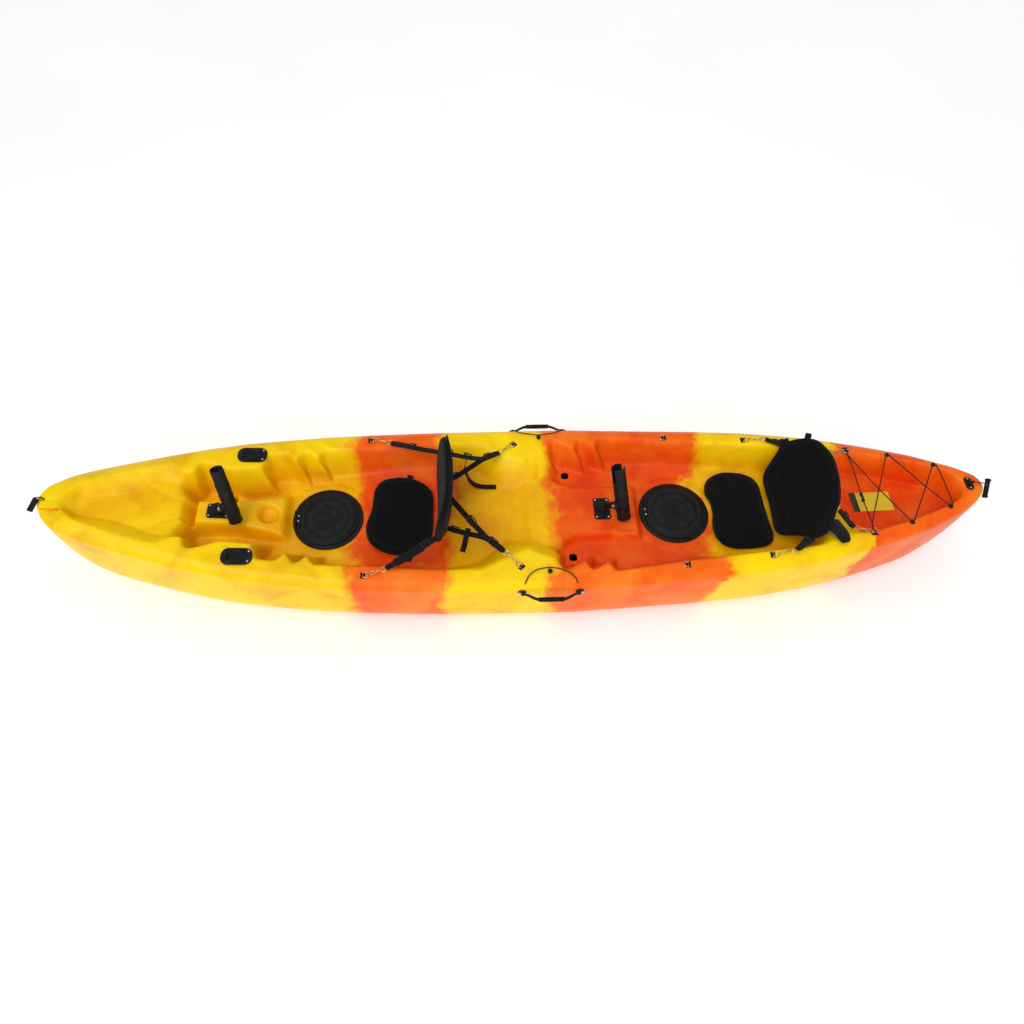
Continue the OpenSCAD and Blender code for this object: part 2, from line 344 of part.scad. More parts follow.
// ---- stern ----
module stern_plate() { color([0.06, 0.06, 0.06]) on_rim(1822, 0) difference() { union() { linear_extrude(3) plate_outline(14, 30, 13.5); translate([1, 0, 3]) rotate([0, -90, 0]) rotate([0, 0, -90]) rotate_extrude(angle = 180, $fn = 48) translate([10, 0]) circle(r = 3, $fn = 24); } } }
module stern_screws() { color([0.85, 0.85, 0.85]) on_rim(1822, 0, 3.7) for (k = [-1, 1]) translate([0, k * 21, 0]) cylinder(r = 4, h = 2, $fn = 32); }
// the toggle on its cord, hinged in the plate's eye
stern_run = [[1829.5, 0, 430.6], [1827.2, 0, 430], [1825, 0, 428.9], [1822, 0, 428.2], [1819, 0, 428.9], [1816.8, 0, 430.9], [1815.9, 0, 434.2], [1816.8, 0, 437.5], [1819, 0, 439.7], [1822, 0, 440.5], [1825.4, 0, 439.6], [1829, 0, 438.2], [1834, 0, 436.6], [1844, -1, 434.4], [1860, -3, 432.6], [1880, -6, 431.2], [1890, -8, 426.5], [1895.5, -9.5, 415]];
module stern_cord() { color([0.05, 0.05, 0.05]) union() { cord(stern_run, 2.2, 8, [0, 1, 0]); translate([1833, 0, 433.4]) sphere(r = 5.5, $fn = 48); } }
module stern_toggle() { color([0.05, 0.05, 0.05]) translate([1902, -10, 401]) rotate([0, 0, -21]) rotate([-70.5, 0, 0]) union() { cylinder(r = 10, h = 78, center = true, $fn = 64); for (k = [-1, 1]) translate([0, 0, k * 37]) cylinder(r = 11.5, h = 6, center = true, $fn = 64); } }
// ---- tankwell ----
eyes = [[1548, 163], [1716, 101]];
module bungee_eyelets() { color([0.05, 0.05, 0.05]) for (s = [-1, 1]) for (p = eyes) on_rim(p[0], s * p[1]) union() { cylinder(r = 9.5, h = 2.4, $fn = 40); translate([0, 0, 2]) rotate([0, -90, 0]) rotate([0, 0, -90]) rotate_extrude(angle = 180, $fn = 40) translate([8, 0]) circle(r = 1.5, $fn = 24); } }
bungee_run = [[1424, -2, 336], [1424, -26, 336], [1420, -60, 345], [1408, -120, 368], [1404, -140, 375], [1393, -172, 388.5], [1390, -181, 390.8], [1389, -187.5, 393], [1388.5, -188.6, 396.5], [1388, -186, 400], [1387, -180, 401.6],
  [1384, -170, 402.5], [1465, 0, 404.5], [1541, 158, 406.4], [1546, 162.5, 406.7], [1550, 162.5, 406.7], [1555, 158, 406.8], [1651, 0, 409.2], [1709, -96, 418], [1714, -100.5, 418.7], [1719, -100.5, 418.7], [1725, -95, 419],
  [1728, -60, 419], [1728, 60, 419], [1725, 95, 419], [1719, 100.5, 418.7], [1714, 100.5, 418.7], [1709, 96, 418.4], [1651, 0, 416], [1555, -158, 406.8], [1550, -162.5, 406.7], [1546, -162.5, 406.7], [1541, -158, 406.2],
  [1465, 0, 397.6], [1384, 170, 401], [1387, 180, 401.2], [1388, 186, 400], [1388.5, 188.6, 396.5], [1389, 187.5, 393], [1390, 181, 390.8], [1393, 172, 388.5], [1404, 140, 375], [1408, 120, 368], [1420, 60, 345], [1424, 26, 336], [1424, 2, 336]];
module bungee() { color([0.04, 0.04, 0.04]) cord(bungee_run, 2.4); }
module bungee_joiner() { color([0.07, 0.07, 0.07]) translate([1424, 0, 336]) rotate([90, 0, 0]) difference() { cylinder(r = 6.5, h = 44, center = true, $fn = 48); cylinder(r = 2.9, h = 60, center = true, $fn = 48); } }
module blank_label() { color([0.9, 0.8, 0.1]) translate([1480, 4, 294.3]) rotate([0, -2.9, 0]) translate([-82, -46, 0]) cube([164, 92, 1.2]); }

hull();
front_hatch_rim();
front_hatch_gasket();
front_hatch_lid();
front_hatch_pin();
rear_hatch_rim();
rear_hatch_gasket();
rear_hatch_lid();
rear_hatch_pin();
hatch_screws();
flush_holder_port();
flush_holder_starboard();
flush_cap_port();
flush_cap_starboard();
flush_hinges();
flush_screws();
front_rod_base();
front_rod_arm();
front_rod_tube();
front_rod_bolt();
rear_rod_base();
rear_rod_arm();
rear_rod_tube();
rear_rod_bolt();
rod_base_screws();
pad_eyes();
pad_eye_rivets();
seat_rings();
free_ring_port();
free_ring_starboard();
front_seat_cushion();
rear_seat_cushion();
front_seat_back();
rear_seat_back();
front_seat_straps();
rear_seat_straps();
front_seat_hooks();
rear_seat_hooks();
front_seat_buckles();
rear_seat_buckles();
handle_pads();
handle_screws();
side_handle_port();
side_handle_starboard();
keeper_knobs();
paddle_keeper_port();
paddle_keeper_starboard();
bow_loop();
bow_strap();
stern_plate();
stern_screws();
stern_cord();
stern_toggle();
bungee_eyelets();
bungee();
bungee_joiner();
blank_label();
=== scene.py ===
import bpy, bmesh, math
import numpy as np
from mathutils import Vector, Matrix

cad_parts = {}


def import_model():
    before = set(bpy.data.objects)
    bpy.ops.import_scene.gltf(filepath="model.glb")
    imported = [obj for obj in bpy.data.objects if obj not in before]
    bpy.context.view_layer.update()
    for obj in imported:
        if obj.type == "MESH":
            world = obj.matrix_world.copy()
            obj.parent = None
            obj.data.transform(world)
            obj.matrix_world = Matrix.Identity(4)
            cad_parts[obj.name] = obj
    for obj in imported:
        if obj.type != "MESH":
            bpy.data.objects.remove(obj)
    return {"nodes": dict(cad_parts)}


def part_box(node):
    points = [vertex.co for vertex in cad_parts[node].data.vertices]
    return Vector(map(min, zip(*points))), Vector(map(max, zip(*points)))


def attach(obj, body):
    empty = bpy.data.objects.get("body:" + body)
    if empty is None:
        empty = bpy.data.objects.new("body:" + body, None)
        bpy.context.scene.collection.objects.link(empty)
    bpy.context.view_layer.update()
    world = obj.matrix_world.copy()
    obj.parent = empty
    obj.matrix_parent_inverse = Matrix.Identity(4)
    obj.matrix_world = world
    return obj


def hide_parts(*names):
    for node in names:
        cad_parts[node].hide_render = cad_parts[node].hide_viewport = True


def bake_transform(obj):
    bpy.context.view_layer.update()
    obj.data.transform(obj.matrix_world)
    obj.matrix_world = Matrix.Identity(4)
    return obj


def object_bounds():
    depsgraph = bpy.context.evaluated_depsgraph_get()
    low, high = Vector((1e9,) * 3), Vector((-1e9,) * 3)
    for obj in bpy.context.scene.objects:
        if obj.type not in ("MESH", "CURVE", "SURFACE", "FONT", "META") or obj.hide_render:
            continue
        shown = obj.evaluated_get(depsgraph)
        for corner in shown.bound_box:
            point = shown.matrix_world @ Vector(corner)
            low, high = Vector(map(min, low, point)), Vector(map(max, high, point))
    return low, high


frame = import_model()
box0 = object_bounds()
hull_lo, hull_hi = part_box("hull")
# the part's own design coordinates are millimetres with x = 0 amidships; OFF moves them into the row frame
OFF = np.array([(hull_lo[0] + hull_hi[0]) / 2, (hull_lo[1] + hull_hi[1]) / 2, hull_lo[2]])
scene = bpy.context.scene
rad = math.radians

# ------------------------------------------------------------------ camera
def make_camera():
    e, w, r = rad(57.30), rad(2.53), rad(1.04)
    fwd = Vector((math.sin(w) * math.cos(e), math.cos(w) * math.cos(e), -math.sin(e)))
    right = Vector((math.cos(w), -math.sin(w), 0))
    up = right.cross(fwd)
    r2 = math.cos(r) * right + math.sin(r) * up
    u2 = -math.sin(r) * right + math.cos(r) * up
    cam = bpy.data.objects.new("camera", bpy.data.cameras.new("camera"))
    scene.collection.objects.link(cam)
    m = Matrix((r2, u2, -fwd)).transposed().to_4x4()
    m.translation = Vector((-0.2223, -1.708, 2.996)) + Vector(OFF)
    cam.matrix_world = m
    cam.data.sensor_width = 36
    cam.data.lens = 27.38
    cam.data.shift_x = 0.0313
    cam.data.shift_y = -0.0070
    cam.data.clip_end = 100
    scene.camera = cam
make_camera()

# ------------------------------------------------------------------ maths
def sm(a, b, t):
    u = np.clip((np.asarray(t, float) - a) / (b - a), 0, 1)
    return u * u * (3 - 2 * u)
def tab(x, pts):
    p = np.array(pts, float)
    return np.interp(x, p[:, 0], p[:, 1])
def T(x=0, y=0, z=0):
    m = np.eye(4); m[:3, 3] = (x, y, z); return m
def R(axis, deg):
    a = rad(deg); c, s = math.cos(a), math.sin(a); m = np.eye(4)
    i, j = {"x": (1, 2), "y": (2, 0), "z": (0, 1)}[axis]
    m[i, i] = m[j, j] = c; m[i, j] = -s; m[j, i] = s
    return m
def apply(m, p):
    p = np.asarray(p, float)
    return p @ m[:3, :3].T + m[:3, 3]
def z_rim(x):
    x = np.asarray(x, float)
    return 345 + np.where(x < -108, 100, 70) * ((x + 108) / 1850) ** 2
def slope(x):
    return math.degrees(math.atan((100 if x < -108 else 70) * 2 * (x + 108) / 1850 / 1850))
def on_rim(x, y, up=0.4):
    return T(x, y, float(z_rim(x)) + up) @ R("y", -slope(x))
def along(a, b):
    """a frame at a whose x axis points to b and whose y axis is level"""
    a, b = np.array(a, float), np.array(b, float)
    d = b - a
    return T(*a) @ R("z", math.degrees(math.atan2(d[1], d[0]))) @ R("y", -math.degrees(math.asin(d[2] / np.linalg.norm(d))))
def spline(pts, n, closed=False):
    """points along a smooth curve through pts, evenly spaced"""
    p = np.array(pts, float)
    if closed:
        q = np.vstack([p[-1], p, p[0], p[1]])
    else:
        q = np.vstack([2 * p[0] - p[1], p, 2 * p[-1] - p[-2]])
    out = []
    for i in range(1, len(q) - 2):
        a, b, c, d = q[i - 1], q[i], q[i + 1], q[i + 2]
        for t in np.linspace(0, 1, 12, endpoint=False):
            out.append(0.5 * (2 * b + (c - a) * t + (2 * a - 5 * b + 4 * c - d) * t * t + (3 * b - 3 * c + d - a) * t ** 3))
    out.append(q[-2] if not closed else out[0])
    out = np.array(out)
    s = np.concatenate([[0], np.cumsum(np.linalg.norm(np.diff(out, axis=0), axis=1))])
    t = np.linspace(0, s[-1], n + (1 if closed else 0))
    r = np.stack([np.interp(t, s, out[:, k]) for k in range(3)], 1)
    return r[:-1] if closed else r

# ------------------------------------------------------------------ materials
def nodes_of(name):
    m = bpy.data.materials.new(name)
    m.use_nodes = True
    nt = m.node_tree
    return m, nt, nt.nodes["Principled BSDF"]
def lin(c):
    return [((v / 255) / 12.92 if v / 255 <= 0.04045 else ((v / 255 + 0.055) / 1.055) ** 2.4) for v in c]
class NB:
    def __init__(self, nt): self.nt = nt
    def n(self, kind, **kw):
        x = self.nt.nodes.new(kind)
        for k, v in kw.items():
            if k.startswith("i_"): x.inputs[int(k[2:])].default_value = v
            else: setattr(x, k, v)
        return x
    def l(self, a, b): self.nt.links.new(a, b)
    def math(self, op, a, b=None, clamp=False):
        x = self.n("ShaderNodeMath", operation=op, use_clamp=clamp)
        for i, v in enumerate([a, b]):
            if v is None: continue
            if isinstance(v, (int, float)): x.inputs[i].default_value = v
            else: self.l(v, x.inputs[i])
        return x.outputs[0]
    def noise(self, vec, scale, detail=3, rough=0.55, dist=0.0):
        x = self.n("ShaderNodeTexNoise")
        x.inputs["Scale"].default_value = scale; x.inputs["Detail"].default_value = detail
        x.inputs["Roughness"].default_value = rough; x.inputs["Distortion"].default_value = dist
        if vec is not None: self.l(vec, x.inputs["Vector"])
        return x.outputs["Fac"]
    def ramp(self, fac, stops, interp="LINEAR"):
        x = self.n("ShaderNodeValToRGB"); cr = x.color_ramp; cr.interpolation = interp
        while len(cr.elements) < len(stops): cr.elements.new(0.5)
        for e, (p, c) in zip(cr.elements, stops):
            e.position = p; e.color = (*c, 1) if len(c) == 3 else c
        self.l(fac, x.inputs[0]); return x.outputs[0]
    def mix(self, fac, a, b, mode="MIX"):
        x = self.n("ShaderNodeMix", data_type="RGBA", blend_type=mode)
        for s, v in ((x.inputs[0], fac), (x.inputs[6], a), (x.inputs[7], b)):
            if isinstance(v, (int, float)): s.default_value = v
            elif isinstance(v, (tuple, list)): s.default_value = (*v, 1) if len(v) == 3 else v
            else: self.l(v, s)
        return x.outputs[2]
    def bump(self, height, dist, strength=1.0, prev=None):
        x = self.n("ShaderNodeBump"); x.inputs["Distance"].default_value = dist; x.inputs["Strength"].default_value = strength
        self.l(height, x.inputs["Height"])
        if prev is not None: self.l(prev, x.inputs["Normal"])
        return x.outputs[0]

def mat_hull():
    m, nt, b = nodes_of("hull_plastic")
    g = NB(nt)
    co = g.n("ShaderNodeTexCoord").outputs["Object"]
    sep = g.n("ShaderNodeSeparateXYZ"); g.l(co, sep.inputs[0])
    x = g.math("SUBTRACT", sep.outputs[0], float(OFF[0]))
    y = g.math("SUBTRACT", sep.outputs[1], float(OFF[1]))
    # where the two colours met in the mould: wavy along the length, ragged in detail
    n1 = g.noise(co, 3.2, 2, 0.5, 0.3)
    n2 = g.noise(co, 17.0, 4, 0.65, 0.8)
    w = g.math("ADD", g.math("MULTIPLY", g.math("SUBTRACT", n1, 0.5), 0.30), g.math("MULTIPLY", g.math("SUBTRACT", n2, 0.5), 0.12))
    xs = g.math("ADD", x, w)
    u = g.math("DIVIDE", g.math("ADD", xs, 2.0), 4.0)
    Y, O, A = (0, 0, 0), (1, 1, 1), None
    edges = [(-0.66, 0.030), (-0.285, 0.026), (0.15, 0.026), (0.79, 0.020), (1.36, 0.014)]
    stops = [(0.0, (0, 0, 0))]
    on = 0
    for e, h in edges:
        stops.append(((e - h + 2) / 4, (on,) * 3)); on = 1 - on
        stops.append(((e + h + 2) / 4, (on,) * 3))
    f = g.ramp(u, stops)
    # stray flecks of the second colour
    fl = g.noise(co, 6.5, 3, 0.6, 1.6)
    fleck = g.math("MULTIPLY", g.math("GREATER_THAN", fl, 0.735), 0.0)
    soft = g.ramp(fl, [(0.0, (0, 0, 0)), (0.70, (0, 0, 0)), (0.80, (0.26, 0.26, 0.26)), (1.0, (0.26,) * 3)])
    f = g.math("MAXIMUM", f, soft)
    # a streak of the second colour at the bow, port side
    sx = g.math("MULTIPLY", g.math("ABSOLUTE", g.math("ADD", x, 1.815)), 15.0)
    sy = g.math("MULTIPLY", g.math("ABSOLUTE", g.math("ADD", y, 0.045)), 46.0)
    n3 = g.noise(co, 48.0, 4, 0.7, 0.8)
    sr = g.math("ADD", g.math("ADD", g.math("MULTIPLY", sx, 0.7), g.math("MULTIPLY", sy, 1.15)), g.math("MULTIPLY", g.math("SUBTRACT", n3, 0.32), 2.2))
    f = g.math("MAXIMUM", f, g.ramp(sr, [(0.0, (0.85, 0.85, 0.85)), (0.62, (0.7, 0.7, 0.7)), (1.0, (0, 0, 0))]))
    # each colour has lighter and darker drifts
    d1 = g.noise(co, 4.0, 4, 0.6, 0.9)
    d2 = g.noise(co, 11.0, 3, 0.6, 0.4)
    yel = g.ramp(d1, [(0.30, lin((234, 178, 0))), (0.5, lin((250, 207, 0))), (0.70, lin((255, 222, 2)))])
    ora = g.ramp(d1, [(0.30, lin((236, 76, 4))), (0.52, lin((249, 108, 12))), (0.74, lin((253, 142, 34)))])
    # painted shade: both colours are mixed towards a darker, deeper tone the further a point lies below the rim,
    # standing in for shade in the wells and openings
    recess_shade = g.n("ShaderNodeAttribute", attribute_name="recess_shade").outputs["Fac"]
    recess_shade_fac = g.math("MULTIPLY", recess_shade, g.math("ADD", g.math("MULTIPLY", d2, 0.9), 0.15), clamp=True)
    yel = g.mix(recess_shade_fac, yel, lin((222, 132, 0)))
    ora = g.mix(recess_shade_fac, ora, lin((214, 42, 0)))
    col = g.mix(f, yel, ora)
    g.l(col, b.inputs["Base Color"])
    # fine orange-peel skin of rotomoulded polyethylene, with light scuffs
    o1 = g.noise(co, 190.0, 2, 0.5)
    o2 = g.noise(co, 26.0, 3, 0.5)
    sc = g.n("ShaderNodeMapping"); g.l(co, sc.inputs[0]); sc.inputs["Scale"].default_value = (3.0, 60.0, 60.0); sc.inputs["Rotation"].default_value = (0, 0, 0.12)
    scr = g.noise(sc.outputs[0], 5.0, 4, 0.7)
    h = g.math("ADD", g.math("MULTIPLY", o1, 0.35), g.math("MULTIPLY", o2, 0.9))
    g.l(g.bump(h, 0.0012, 0.55), b.inputs["Normal"])
    g.l(g.ramp(g.math("ADD", g.math("MULTIPLY", scr, 0.6), g.math("MULTIPLY", o2, 0.4)), [(0.35, (0.28,) * 3), (0.65, (0.46,) * 3)]), b.inputs["Roughness"])
    b.inputs["Specular IOR Level"].default_value = 0.17
    b.inputs["Subsurface Weight"].default_value = 0.0
    return m

def mat_plastic(name, c, rough=0.42, grain=420.0, depth=0.00035, wear=True):
    m, nt, b = nodes_of(name)
    g = NB(nt)
    co = g.n("ShaderNodeTexCoord").outputs["Object"]
    a = g.noise(co, grain, 3, 0.6)
    k = g.noise(co, 34.0, 4, 0.65)
    hi = [min(1, v * 1.9 + 0.006) for v in lin(c)]
    base = g.ramp(k, [(0.3, lin(c)), (0.75, hi)])
    if wear:
        # handled edges have gone slightly grey
        geo = g.n("ShaderNodeNewGeometry").outputs["Pointiness"]
        ed = g.ramp(geo, [(0.50, (0, 0, 0)), (0.60, (1, 1, 1))])
        base = g.mix(g.math("MULTIPLY", ed, g.math("MULTIPLY", k, 0.5)), base, (0.06, 0.06, 0.062))
    g.l(base, b.inputs["Base Color"])
    g.l(g.ramp(g.math("ADD", g.math("MULTIPLY", k, 0.7), g.math("MULTIPLY", a, 0.3)), [(0.3, (rough - 0.08,) * 3), (0.7, (rough + 0.12,) * 3)]), b.inputs["Roughness"])
    g.l(g.bump(a, depth, 0.7), b.inputs["Normal"])
    b.inputs["Specular IOR Level"].default_value = 0.16
    return m

def mat_metal(name, c, rough=0.28):
    m, nt, b = nodes_of(name)
    g = NB(nt)
    co = g.n("ShaderNodeTexCoord").outputs["Object"]
    k = g.noise(co, 160.0, 4, 0.7)
    mp = g.n("ShaderNodeMapping"); g.l(co, mp.inputs[0]); mp.inputs["Scale"].default_value = (30, 400, 400)
    s = g.noise(mp.outputs[0], 6.0, 3, 0.7)
    g.l(g.ramp(k, [(0.3, [v * 0.62 for v in lin(c)]), (0.65, lin(c))]), b.inputs["Base Color"])
    g.l(g.ramp(s, [(0.3, (rough - 0.08,) * 3), (0.7, (rough + 0.16,) * 3)]), b.inputs["Roughness"])
    g.l(g.bump(s, 0.0001, 0.5), b.inputs["Normal"])
    b.inputs["Metallic"].default_value = 1.0
    return m

def mat_fabric(name, c, c2, pitch=0.0011, sheen=0.35):
    """knitted neoprene-like cover: a fine diagonal rib laid on the piece's own flat plan by its uv"""
    m, nt, b = nodes_of(name)
    g = NB(nt)
    uv = g.n("ShaderNodeUVMap"); uv.uv_map = "plan"
    sep = g.n("ShaderNodeSeparateXYZ"); g.l(uv.outputs[0], sep.inputs[0])
    k = 2 * math.pi / pitch
    u, v = sep.outputs[0], sep.outputs[1]
    a = g.math("SINE", g.math("MULTIPLY", g.math("ADD", u, v), k))
    c_ = g.math("SINE", g.math("MULTIPLY", g.math("SUBTRACT", u, v), k))
    wv = g.math("MULTIPLY", g.math("ADD", g.math("MULTIPLY", a, c_), 1.0), 0.5)
    co = g.n("ShaderNodeTexCoord").outputs["Object"]
    n1 = g.noise(co, 14.0, 4, 0.6)
    n2 = g.noise(co, 300.0, 2, 0.6)
    base = g.mix(wv, lin(c), lin(c2))
    base = g.mix(g.math("MULTIPLY", n1, 0.45), base, [v * 0.45 for v in lin(c)])
    g.l(base, b.inputs["Base Color"])
    h = g.math("ADD", wv, g.math("MULTIPLY", n2, 0.7))
    nb = g.bump(h, 0.0005, 0.6)
    g.l(g.bump(n1, 0.004, 0.35, nb), b.inputs["Normal"])
    g.l(g.ramp(n1, [(0.3, (0.74,) * 3), (0.7, (0.9,) * 3)]), b.inputs["Roughness"])
    b.inputs["Sheen Weight"].default_value = sheen
    b.inputs["Sheen Roughness"].default_value = 0.45
    b.inputs["Sheen Tint"].default_value = (0.5, 0.52, 0.56, 1)
    b.inputs["Specular IOR Level"].default_value = 0.1
    return m

def mat_webbing():
    """flat nylon webbing: rows of chevrons across the width, by the ribbon's own uv in metres"""
    m, nt, b = nodes_of("webbing")
    g = NB(nt)
    uv = g.n("ShaderNodeUVMap"); uv.uv_map = "plan"
    sep = g.n("ShaderNodeSeparateXYZ"); g.l(uv.outputs[0], sep.inputs[0])
    u, v = sep.outputs[0], sep.outputs[1]
    tri = g.math("PINGPONG", g.math("MULTIPLY", v, 1.0), 0.0045)
    a = g.math("SINE", g.math("MULTIPLY", g.math("ADD", u, g.math("MULTIPLY", tri, 1.2)), 2 * math.pi / 0.0016))
    r = g.math("SINE", g.math("MULTIPLY", v, 2 * math.pi / 0.0015))
    h = g.math("ADD", g.math("MULTIPLY", a, 0.6), g.math("MULTIPLY", r, 0.4))
    co = g.n("ShaderNodeTexCoord").outputs["Object"]
    n1 = g.noise(co, 60.0, 3, 0.6)
    g.l(g.mix(g.math("ADD", g.math("MULTIPLY", h, 0.5), 0.5, clamp=True), lin((4, 4, 4)), lin((16, 16, 17))), b.inputs["Base Color"])
    g.l(g.bump(g.math("ADD", h, n1), 0.0004, 0.7), b.inputs["Normal"])
    g.l(g.ramp(n1, [(0.3, (0.5,) * 3), (0.7, (0.68,) * 3)]), b.inputs["Roughness"])
    b.inputs["Specular IOR Level"].default_value = 0.12
    b.inputs["Sheen Weight"].default_value = 0.1
    return m

def mat_cord(name="cord", c=(16, 15, 15), fleck=(120, 30, 24), amount=0.16):
    """braided sleeve: two crossing sets of strands, by the tube's uv (u along, v round)"""
    m, nt, b = nodes_of(name)
    g = NB(nt)
    uv = g.n("ShaderNodeUVMap"); uv.uv_map = "plan"
    sep = g.n("ShaderNodeSeparateXYZ"); g.l(uv.outputs[0], sep.inputs[0])
    u = g.math("MULTIPLY", sep.outputs[0], 2 * math.pi / 0.006)
    v = g.math("MULTIPLY", sep.outputs[1], 2 * math.pi * 4)
    a = g.math("SINE", g.math("ADD", u, v)); c_ = g.math("SINE", g.math("SUBTRACT", u, v))
    h = g.math("MAXIMUM", a, c_)
    chk = g.math("GREATER_THAN", g.math("MULTIPLY", a, c_), 0.55)
    co = g.n("ShaderNodeTexCoord").outputs["Object"]
    n1 = g.noise(co, 120.0, 3, 0.6)
    base = g.mix(g.math("MULTIPLY", chk, amount), g.mix(n1, lin(c), [v * 2.2 + 0.004 for v in lin(c)]), lin(fleck))
    g.l(base, b.inputs["Base Color"])
    g.l(g.bump(h, 0.0005, 0.8), b.inputs["Normal"])
    g.l(g.ramp(n1, [(0.3, (0.55,) * 3), (0.7, (0.75,) * 3)]), b.inputs["Roughness"])
    return m

def mat_sticker():
    m, nt, b = nodes_of("blank_sticker")
    g = NB(nt)
    co = g.n("ShaderNodeTexCoord").outputs["Object"]
    sep = g.n("ShaderNodeSeparateXYZ"); g.l(co, sep.inputs[0])
    n1 = g.noise(co, 45.0, 4, 0.6); n2 = g.noise(co, 400.0, 2, 0.5)
    band = g.math("LESS_THAN", g.math("SUBTRACT", sep.outputs[0], float(OFF[0])), 1.424)
    yel = g.mix(n1, lin((226, 196, 20)), lin((206, 176, 30)))
    g.l(g.mix(band, yel, lin((34, 32, 26))), b.inputs["Base Color"])
    g.l(g.bump(g.math("ADD", n2, n1), 0.0002, 0.5), b.inputs["Normal"])
    g.l(g.ramp(n1, [(0.3, (0.28,) * 3), (0.7, (0.4,) * 3)]), b.inputs["Roughness"])
    return m

M = {
    "hull": mat_hull(),
    "plastic": mat_plastic("black_plastic", (9, 9, 10)),
    "lid": mat_plastic("lid_plastic", (10, 10, 11), rough=0.56, grain=520, depth=0.0005),
    "rubber": mat_plastic("black_rubber", (12, 12, 12), rough=0.62, grain=260, depth=0.0006, wear=False),
    "steel": mat_metal("steel", (214, 214, 218)),
    "brass": mat_metal("brassy_steel", (222, 190, 138), 0.3),
    "seat": mat_fabric("seat_fabric", (5, 5, 6), (15, 15, 17), sheen=0.12),
    "piping": mat_fabric("piping_fabric", (4, 4, 5), (12, 12, 13), pitch=0.0009, sheen=0.2),
    "web": mat_webbing(),
    "cord": mat_cord(),
    "bungee": mat_cord("bungee_cord", (18, 12, 12), (92, 24, 20), 0.10),
    "sticker": mat_sticker(),
    "bore": mat_plastic("scupper_bush", (14, 12, 11), rough=0.6, wear=False),
}

# ------------------------------------------------------------------ mesh builders (millimetres, design coordinates)
def obj(name, verts, faces, mat, body, slot, replaces=(), uv=None, smooth=True, mats=None, mat_idx=None, angle=35):
    v = np.asarray(verts, float) / 1000 + OFF
    me = bpy.data.meshes.new(name)
    me.from_pydata([tuple(p) for p in v], [], [tuple(int(i) for i in f) for f in faces])
    me.update()
    o = bpy.data.objects.new(name, me)
    scene.collection.objects.link(o)
    for k in (mats or [mat]): me.materials.append(M[k])
    if mat_idx is not None: me.polygons.foreach_set("material_index", np.asarray(mat_idx, np.int32))
    if uv is not None:
        lay = me.uv_layers.new(name="plan")
        li = np.zeros(len(me.loops), np.int32); me.loops.foreach_get("vertex_index", li)
        lay.data.foreach_set("uv", np.asarray(uv, np.float32)[li].ravel())
    bm = bmesh.new(); bm.from_mesh(me)
    bmesh.ops.recalc_face_normals(bm, faces=bm.faces[:])
    bm.to_mesh(me); bm.free()
    if smooth:
        me.polygons.foreach_set("use_smooth", np.ones(len(me.polygons), bool))
        if angle: me.set_sharp_from_angle(angle=rad(angle))
    if body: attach(o, body)
    if replaces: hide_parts(*replaces)
    return o

class Geo:
    """gathers several shapes into one mesh"""
    def __init__(self): self.v, self.f, self.uv, self.mi, self.n = [], [], [], [], 0
    def add(self, v, f, m=None, uv=None, mi=0):
        v = np.asarray(v, float)
        if m is not None: v = apply(m, v)
        self.v.append(v); self.uv.append(np.zeros((len(v), 2)) if uv is None else np.asarray(uv, float))
        self.f += [[i + self.n for i in q] for q in f]; self.mi += [mi] * len(f)
        self.n += len(v)
        return self
    def build(self, name, mat, body, slot, replaces=(), mats=None, **kw):
        return obj(name, np.vstack(self.v), self.f, mat, body, slot, replaces, uv=np.vstack(self.uv), mats=mats, mat_idx=self.mi if mats else None, **kw)

def lathe(profile, n=64, closed=False):
    """profile [(r, z)...] turned about z; ends at r 0 close the shape"""
    p = np.array(profile, float); v, f = [], []
    a = np.linspace(0, 2 * np.pi, n, endpoint=False)
    for r, z in p:
        v.append(np.stack([r * np.cos(a), r * np.sin(a), np.full(n, z)], 1))
    m = len(p)
    for i in range(m if closed else m - 1):
        k = (i + 1) % m
        for j in range(n):
            f.append([i * n + j, i * n + (j + 1) % n, k * n + (j + 1) % n, k * n + j])
    v = np.vstack(v)
    if not closed:
        c = len(v)
        v = np.vstack([v, [[0, 0, p[0, 1]], [0, 0, p[-1, 1]]]])
        for j in range(n):
            f.append([c, (j + 1) % n, j]); f.append([c + 1, (m - 1) * n + j, (m - 1) * n + (j + 1) % n])
    return v, f
def disc_profile(r, z0, z1, b=1.0):
    """a solid disc with rounded edges as a lathe profile"""
    return [(max(r - b, .01) * .5, z0), (r - b, z0), (r - b * .3, z0 + b * .3), (r, z0 + b), (r, z1 - b), (r - b * .3, z1 - b * .3), (r - b, z1), (max(r - b, .01) * .5, z1)]
